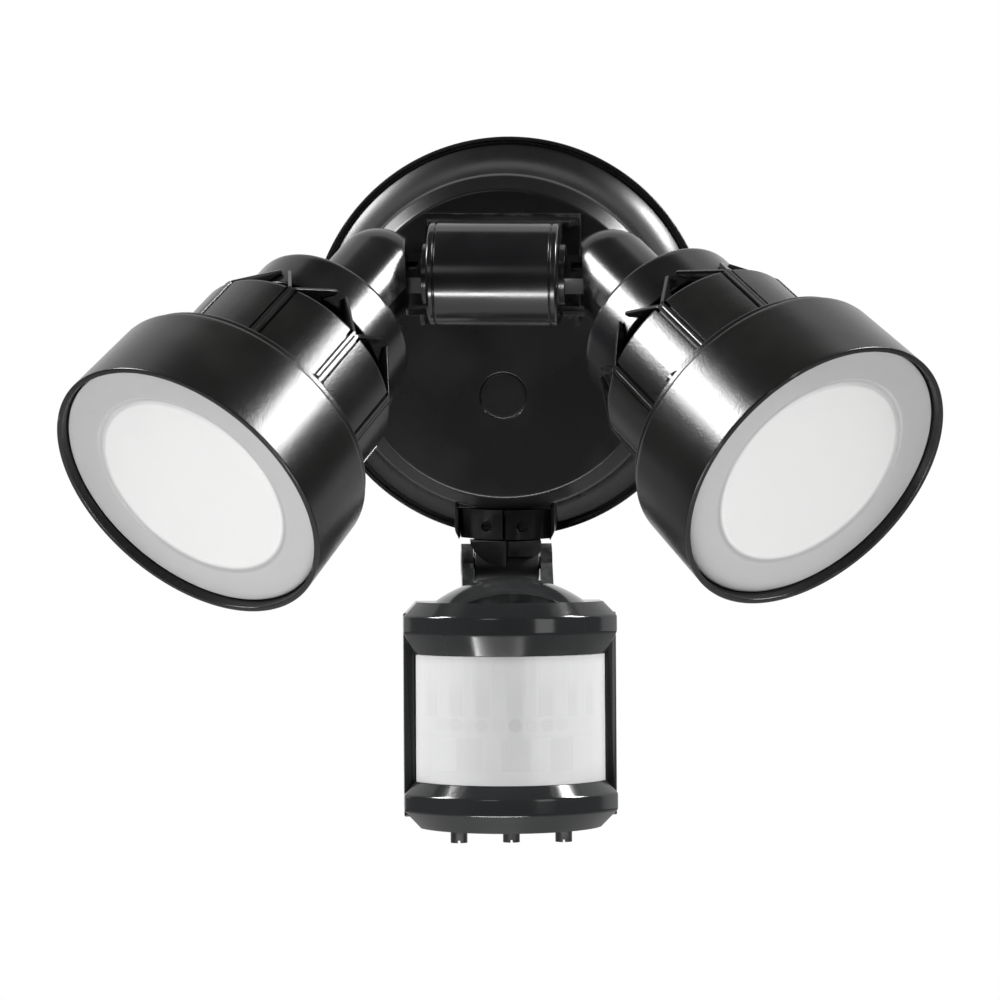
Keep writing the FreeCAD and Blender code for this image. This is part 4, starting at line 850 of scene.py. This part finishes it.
def collar(name, rows):
    """Thick ring round the elbow with a rounded rear edge."""
    outline = rounded([(13.6, 27, 0.3), (26.3, 27, 1.6), (26.3, 42, 0.5), (21.6, 42, 0.2),
                       (21.6, 30), (13.6, 30)])
    ring = turned(f"{name}_collar_ring", outline, rows, closed=True)
    return stand_for(ring, f"{name}_collar")


def rib_angles(side):
    """Angle of every rib; the two lamps mirror each other."""
    return math.radians(90 - side * FIRST_RIB) + 2 * math.pi / RIBS * np.arange(RIBS)


def rib_columns(side, radius=32.4):
    """Angle of every column and its distance from the nearest rib, in millimetres."""
    reach = np.concatenate([-RIB_REACH, [0], RIB_REACH[::-1]])
    angle = rib_angles(side)[:, None] + reach[None] / radius
    return angle.ravel(), np.tile(np.abs(reach), RIBS)


def sleeve(name, rows):
    """Rear of the housing with its ribs and fins.

    Radius = plain outline + 0.3 on a rib - 0.08 along its middle - 1.5 in the groove beside it,
    from 1.15 to 1.95 mm.
    """
    side = 1 if name == "right" else -1
    outline = rounded([
        (22.8, 42.1), (22.8, 42.3), (22.8, 42.5), (22.8, 48.3, 0.2), (31.4, 48.5, 0.5),
        (32.4, 49.4, 0.5), (32.7, 76.3, 0.3), (40.3, 76.6, 0.3), (40.7, 77, 0.3),
        (40.7, 78.9, 0.2), (28.6, 78.9), (28.4, 50.9), (19.8, 50.9), (19.8, 42.1)])
    angle, distance = rib_columns(side)
    lift = 0.3 * soft_step(distance, 1.2, 1.05) - 0.08 * np.exp(-(distance / 0.14) ** 2)
    cut = 1.5 * soft_step(distance, 1.05, 1.25) * soft_step(distance, 2.05, 1.85)
    cooled = (outline[:, 1] > 48.55) & (outline[:, 1] < 76.5) & (outline[:, 0] > 31)
    radius = outline[:, None, 0] + (lift - cut)[None] * cooled[:, None]
    grid = np.stack(np.broadcast_arrays(radius * np.cos(angle), radius * np.sin(angle),
                                        outline[:, None, 1]), -1)
    body = skin(f"{name}_sleeve_body", placed(grid, rows), rows_meet=True)
    casting = joined(f"{name}_sleeve_casting", [body, *fins(rows, side)])
    return stand_for(casting, f"{name}_ribbed_sleeve")


def fins(rows, side, spread=31.5, root=49.1, offset=0.9, half=0.5):
    """Two fins for each rib, drawn in a plane that leans by the spread to either side of it."""
    outline = [(31.2, 1.6), (22, 1.6), (22, -8), (26.2, -8), (25.5, -13.4, 0.2),
               (26.5, -13.4, 0.3), (32.7, 0, 0.6), (32.7, 1.6)]
    lean = math.radians(spread)
    made = []
    for angle in rib_angles(side):
        out = rows[1] * math.cos(angle) + rows[2] * math.sin(angle)
        around = rows[2] * math.cos(angle) - rows[1] * math.sin(angle)
        for way in (-1, 1):
            along = rows[3] * math.cos(lean) - way * around * math.sin(lean)
            base = rows[0] + root * rows[3] + way * offset * around
            leaning = np.array([base, out, along, np.cross(out, along)])
            made.append(slab("fin", outline, -half, half, leaning, 0.15, 0.1))
    return made


for name, rows in LAMPS.items():
    collar(name, rows)
    print(name, "sleeve", len(sleeve(name, rows).data.polygons), "faces")

# %% [markdown]
# The drum is the front of the housing. It widens a little towards its rim, which ends in a thin
# flat lip, and the opal diffuser lies just behind the lip. The diffuser's own front has a fine
# sunk ring round the bright middle.

# %% drum and diffuser
def drum(name, rows):
    """Hollow cone with a closed rear and a thin lip."""
    outline = rounded([(30.8, 79), (42.05, 79, 1.1), (43, 106.5, 0.45), (41.4, 106.5, 0.25),
                       (41.1, 99.1), (39.1, 99.1), (39.9, 81.2, 0.6), (30.8, 81.2)])
    shell = turned(f"{name}_drum_shell", outline, rows, closed=True, columns=256)
    return stand_for(shell, f"{name}_drum")


def diffuser(name, rows):
    """Opal disc with a sunk ring; each point also stores its distance from the axis."""
    outline = rounded([(0, 101.3), (40.9, 101.3), (40.9, 103.7, 0.4), (36, 103.7),
                       (31, 103.7, 0.25), (30.2, 103.35, 0.3), (29.4, 103.35, 0.3),
                       (28.6, 103.62, 0.4), (20, 103.62), (10, 103.62), (0, 103.62)],
                      closed=False)
    piece = turned(f"{name}_diffuser_disc", outline, rows, columns=192)
    # The stored distance sets the painted shade over the rim and the painted shadow in the ring.
    store(piece, "reach", np.linalg.norm(local(piece, rows)[:, :2], axis=1))
    return stand_for(piece, f"{name}_diffuser")


for name, rows in LAMPS.items():
    drum(name, rows)
    print(name, "diffuser", len(diffuser(name, rows).data.polygons), "faces")

# %% [markdown]
# ## Sensor
#
# The sensor's front is a frame with an upper and a lower band. Seen from above, it has a flat
# back, straight sides and a front that bulges, and the bands swell and shrink with the height. So
# a ring of plan points is repeated at each height, moved inwards by the inset of that height. Two
# upright posts behind the sides join the bands.

# %% sensor front
HALF_WIDTH, SIDE_DEPTH, BULGE = 33, 26, 20


def bow(inset, steps):
    """Front of a plan at an inset: an arc of half width w that bulges by b.

    Its radius is (w^2 + b^2) / (2 b).
    """
    half, side = HALF_WIDTH - inset, SIDE_DEPTH - 0.6 * inset
    return arc((half, side), (-half, side), (half ** 2 + BULGE ** 2) / (2 * BULGE), steps)


def plan(inset, back=17.0, radius=0.6):
    """Plan at an inset: back, straight sides and the bowed front, as (x, z)."""
    half, bulge = HALF_WIDTH - inset, bow(inset, 48)
    corners = [(-half, back, 0.3), (half, back, 0.3), bulge[0] + (radius,), *bulge[1:-1],
               bulge[-1] + (radius,)]
    return rounded(corners, steps=3)


def band(name, levels):
    """Plans stacked along the height, with the outline (inset, height) rounded at its corners."""
    rings = []
    for inset, height in rounded(levels, closed=False):
        x, z = plan(inset).T
        rings.append(np.stack([x, np.full_like(x, height), z], 1))
    return skin(name, placed(np.array(rings), SENSOR))


bands = [band("upper_band", [(4.1, -11.6), (0, -16, 0.5), (0, -21, 0.5), (3.5, -27.6)]),
         band("lower_band", [(3.5, -67.1), (0, -70.9, 0.5), (0, -75.9, 0.5), (5.1, -81.5)])]
posts = [slab("post", [(side * 33, -15), (side * 29.5, -15), (side * 29.5, -78), (side * 33, -78)],
              17, 21.5, SENSOR, 0.5) for side in (-1, 1)]
front = joined("sensor_frame", bands + posts)
stand_for(front, "sensor_front_frame")
print("sensor frame", len(front.data.polygons), "faces")

# %% [markdown]
# The cap on top is a shallow piece of a ball, cut off straight in front and behind. It is a grid
# of chords, and the rows next to each cut lie a little lower, which rounds the edge.

# %% sensor cap
CAP_RADIUS, CAP_RISE, CAP_FOOT, CAP_CENTRE = 23.3, 7.6, -11.6, 21.5


def cap_height(x, y):
    """Ball surface through the cap's edge: h = sqrt(R^2 - x^2 - y^2) - (R - rise)."""
    ball = (CAP_RADIUS ** 2 + CAP_RISE ** 2) / (2 * CAP_RISE)
    return np.sqrt(np.maximum(ball ** 2 - x ** 2 - y ** 2, 0)) - (ball - CAP_RISE)


def sensor_cap():
    """Rows across the cap from its cut front to the rear shell; each row spans its own chord."""
    depth = np.concatenate([[-18.5, -18.5], np.linspace(-18.1, 3.8, 40), [4.2, 4.2]])
    share = np.sin(np.linspace(-math.pi / 2, math.pi / 2, 64))
    x = share[None] * np.sqrt(CAP_RADIUS ** 2 - depth ** 2)[:, None]
    height = cap_height(x, depth[:, None])
    height[[1, -2]] -= 0.12
    height[[0, -1]] = 0
    grid = np.stack([x, CAP_FOOT + np.maximum(height, 0),
                     CAP_CENTRE - np.broadcast_to(depth[:, None], x.shape)], -1)
    cap = skin("sensor_cap", placed(grid, SENSOR), columns_meet=False)
    return stand_for(cap, "sensor_top_cap")


print("cap", len(sensor_cap().data.polygons), "faces")

# %% [markdown]
# The lens is a thin curved film. It is divided into tall strips, a row of small ring lenses below
# them, a line, and a row of low blocks: each little lens throws one beam of the watched area on
# the detector. The relief is less than a tenth of a millimetre, and it is worked out as a height
# over the film before the film is bent.

# %% sensor lens
STRIPS = np.array([-26, -22.8, -19.2, -15.4, -11.7, -7.3, -2.2, 3, 7.6, 12.3, 16.6, 19.8, 22.6, 25])
RINGS = np.array([-21.2, -17.6, -13.5, -9.9, -4.8, 0.5, 5.5, 10.4, 14.8])
RING_ROW, RINGS_START, RINGS_END, BLOCKS_END = 48.7, 46.1, 52.6, 62.7


def ditch(distance, depth, width=0.3):
    """Smooth ditch across a distance: -depth exp(-(d / width)^2)."""
    return -depth * np.exp(-(distance / width) ** 2)


def from_marks(x, marks):
    """Distance from the nearest of some marks."""
    return np.min(np.abs(x[..., None] - marks), -1)


def from_rings(x, y):
    """Distance from the centre of the nearest ring lens."""
    return np.min(np.hypot(x[..., None] - RINGS, (y - RING_ROW)[..., None]), -1)


def lens_relief(x, y):
    """Height of the film's relief over x across and y down, in millimetres."""
    strip, ring = from_marks(x, STRIPS), from_rings(x, y)
    tall = ditch(strip, 0.03) + 0.03 * np.cos(np.clip(strip, 0, 2) * 1.5)
    rings = 0.03 * np.cos(ring * 4.5) * (ring < 2.1) * (1 - (ring / 2.1) ** 2)
    low = ditch(from_marks(x - 1.1, STRIPS[::2]), 0.02)
    relief = np.where(y < RINGS_START - 0.1, tall, np.where(y < RINGS_END, rings, low))
    return (relief + ditch(y - RINGS_START, 0.01) + ditch(y - RINGS_END, 0.03)
            + ditch(y - BLOCKS_END, 0.02))


def lens_pattern(x, y):
    """Greyness of the lens from 0 to 1: painted shade at both ends, strips, small discs and low
    blocks.
    """
    strip = np.searchsorted(STRIPS, x) % 2
    # The strips are tinted in turn; the last term is painted shade along the top, under the band.
    tall = 0.22 * strip * soft_step(y, 30, 42) + 0.4 * soft_step(y, 31.5, 28)
    discs = (0.16 * soft_step(from_rings(x, y), 2.3, 1.9)
             + 0.12 * soft_step(np.abs(x - 0.5), 2.5, 2.1) + 0.08 * strip)
    block = ((x > -17.3) & (x < -9.5)) | ((x > -3.9) & (x < 5.2)) | ((x > 11.1) & (x < 18.5))
    arch = np.minimum(np.hypot(x + 7, y - 61), np.hypot(x - 7.9, y - 61))
    low = 0.22 * block + 0.16 * soft_step(arch, 2.5, 2.1)
    # Below the blocks a flat 0.16 is painted shade along the bottom edge.
    return np.where(y < RINGS_START, tall,
                    np.where(y < RINGS_END, discs, np.where(y < BLOCKS_END, low, 0.16)))


def lens_path(inset, columns):
    """Open plan of the film, evenly spaced: one side, the bulging front, the other side."""
    half, bulge = HALF_WIDTH - inset, bow(inset, 80)
    corners = np.array([(half, 21.6), *bulge, (-half, 21.6)])
    run = np.concatenate([[0], np.cumsum(np.linalg.norm(np.diff(corners, axis=0), axis=1))])
    even = np.linspace(0, run[-1], columns)
    return np.stack([np.interp(even, run, corners[:, 0]), np.interp(even, run, corners[:, 1])], 1)


def sensor_lens(columns=300, rows=190):
    """Film between two plans, its outer face raised by the relief along the plan's normal."""
    outer, inner = lens_path(3.75, columns), lens_path(4.8, columns)
    way = np.gradient(outer, axis=0)
    normal = np.stack([way[:, 1], -way[:, 0]], 1) / np.linalg.norm(way, axis=1)[:, None]
    normal *= np.sign(np.sum(normal * (outer - [0, 20]), 1))[:, None]
    y = np.linspace(27.75, 66.95, rows)
    x = np.broadcast_to(outer[None, :, 0], (rows, columns))
    relief = lens_relief(x, np.broadcast_to(y[:, None], x.shape))
    raised = outer[None] + normal[None] * relief[..., None]
    back = np.broadcast_to(inner[None, ::-1][:, ::6], (rows, len(inner[::6]), 2))
    flat = np.concatenate([raised, back], 1)
    grid = np.stack([flat[..., 0], -np.broadcast_to(y[:, None], flat.shape[:2]), flat[..., 1]], -1)
    film = skin("lens_film", placed(grid, SENSOR), crease=50)
    across, up, _ = local(film, SENSOR).T
    store(film, "pattern", lens_pattern(across, -up))
    return stand_for(film, "sensor_lens")


print("lens", len(sensor_lens().data.polygons), "faces")
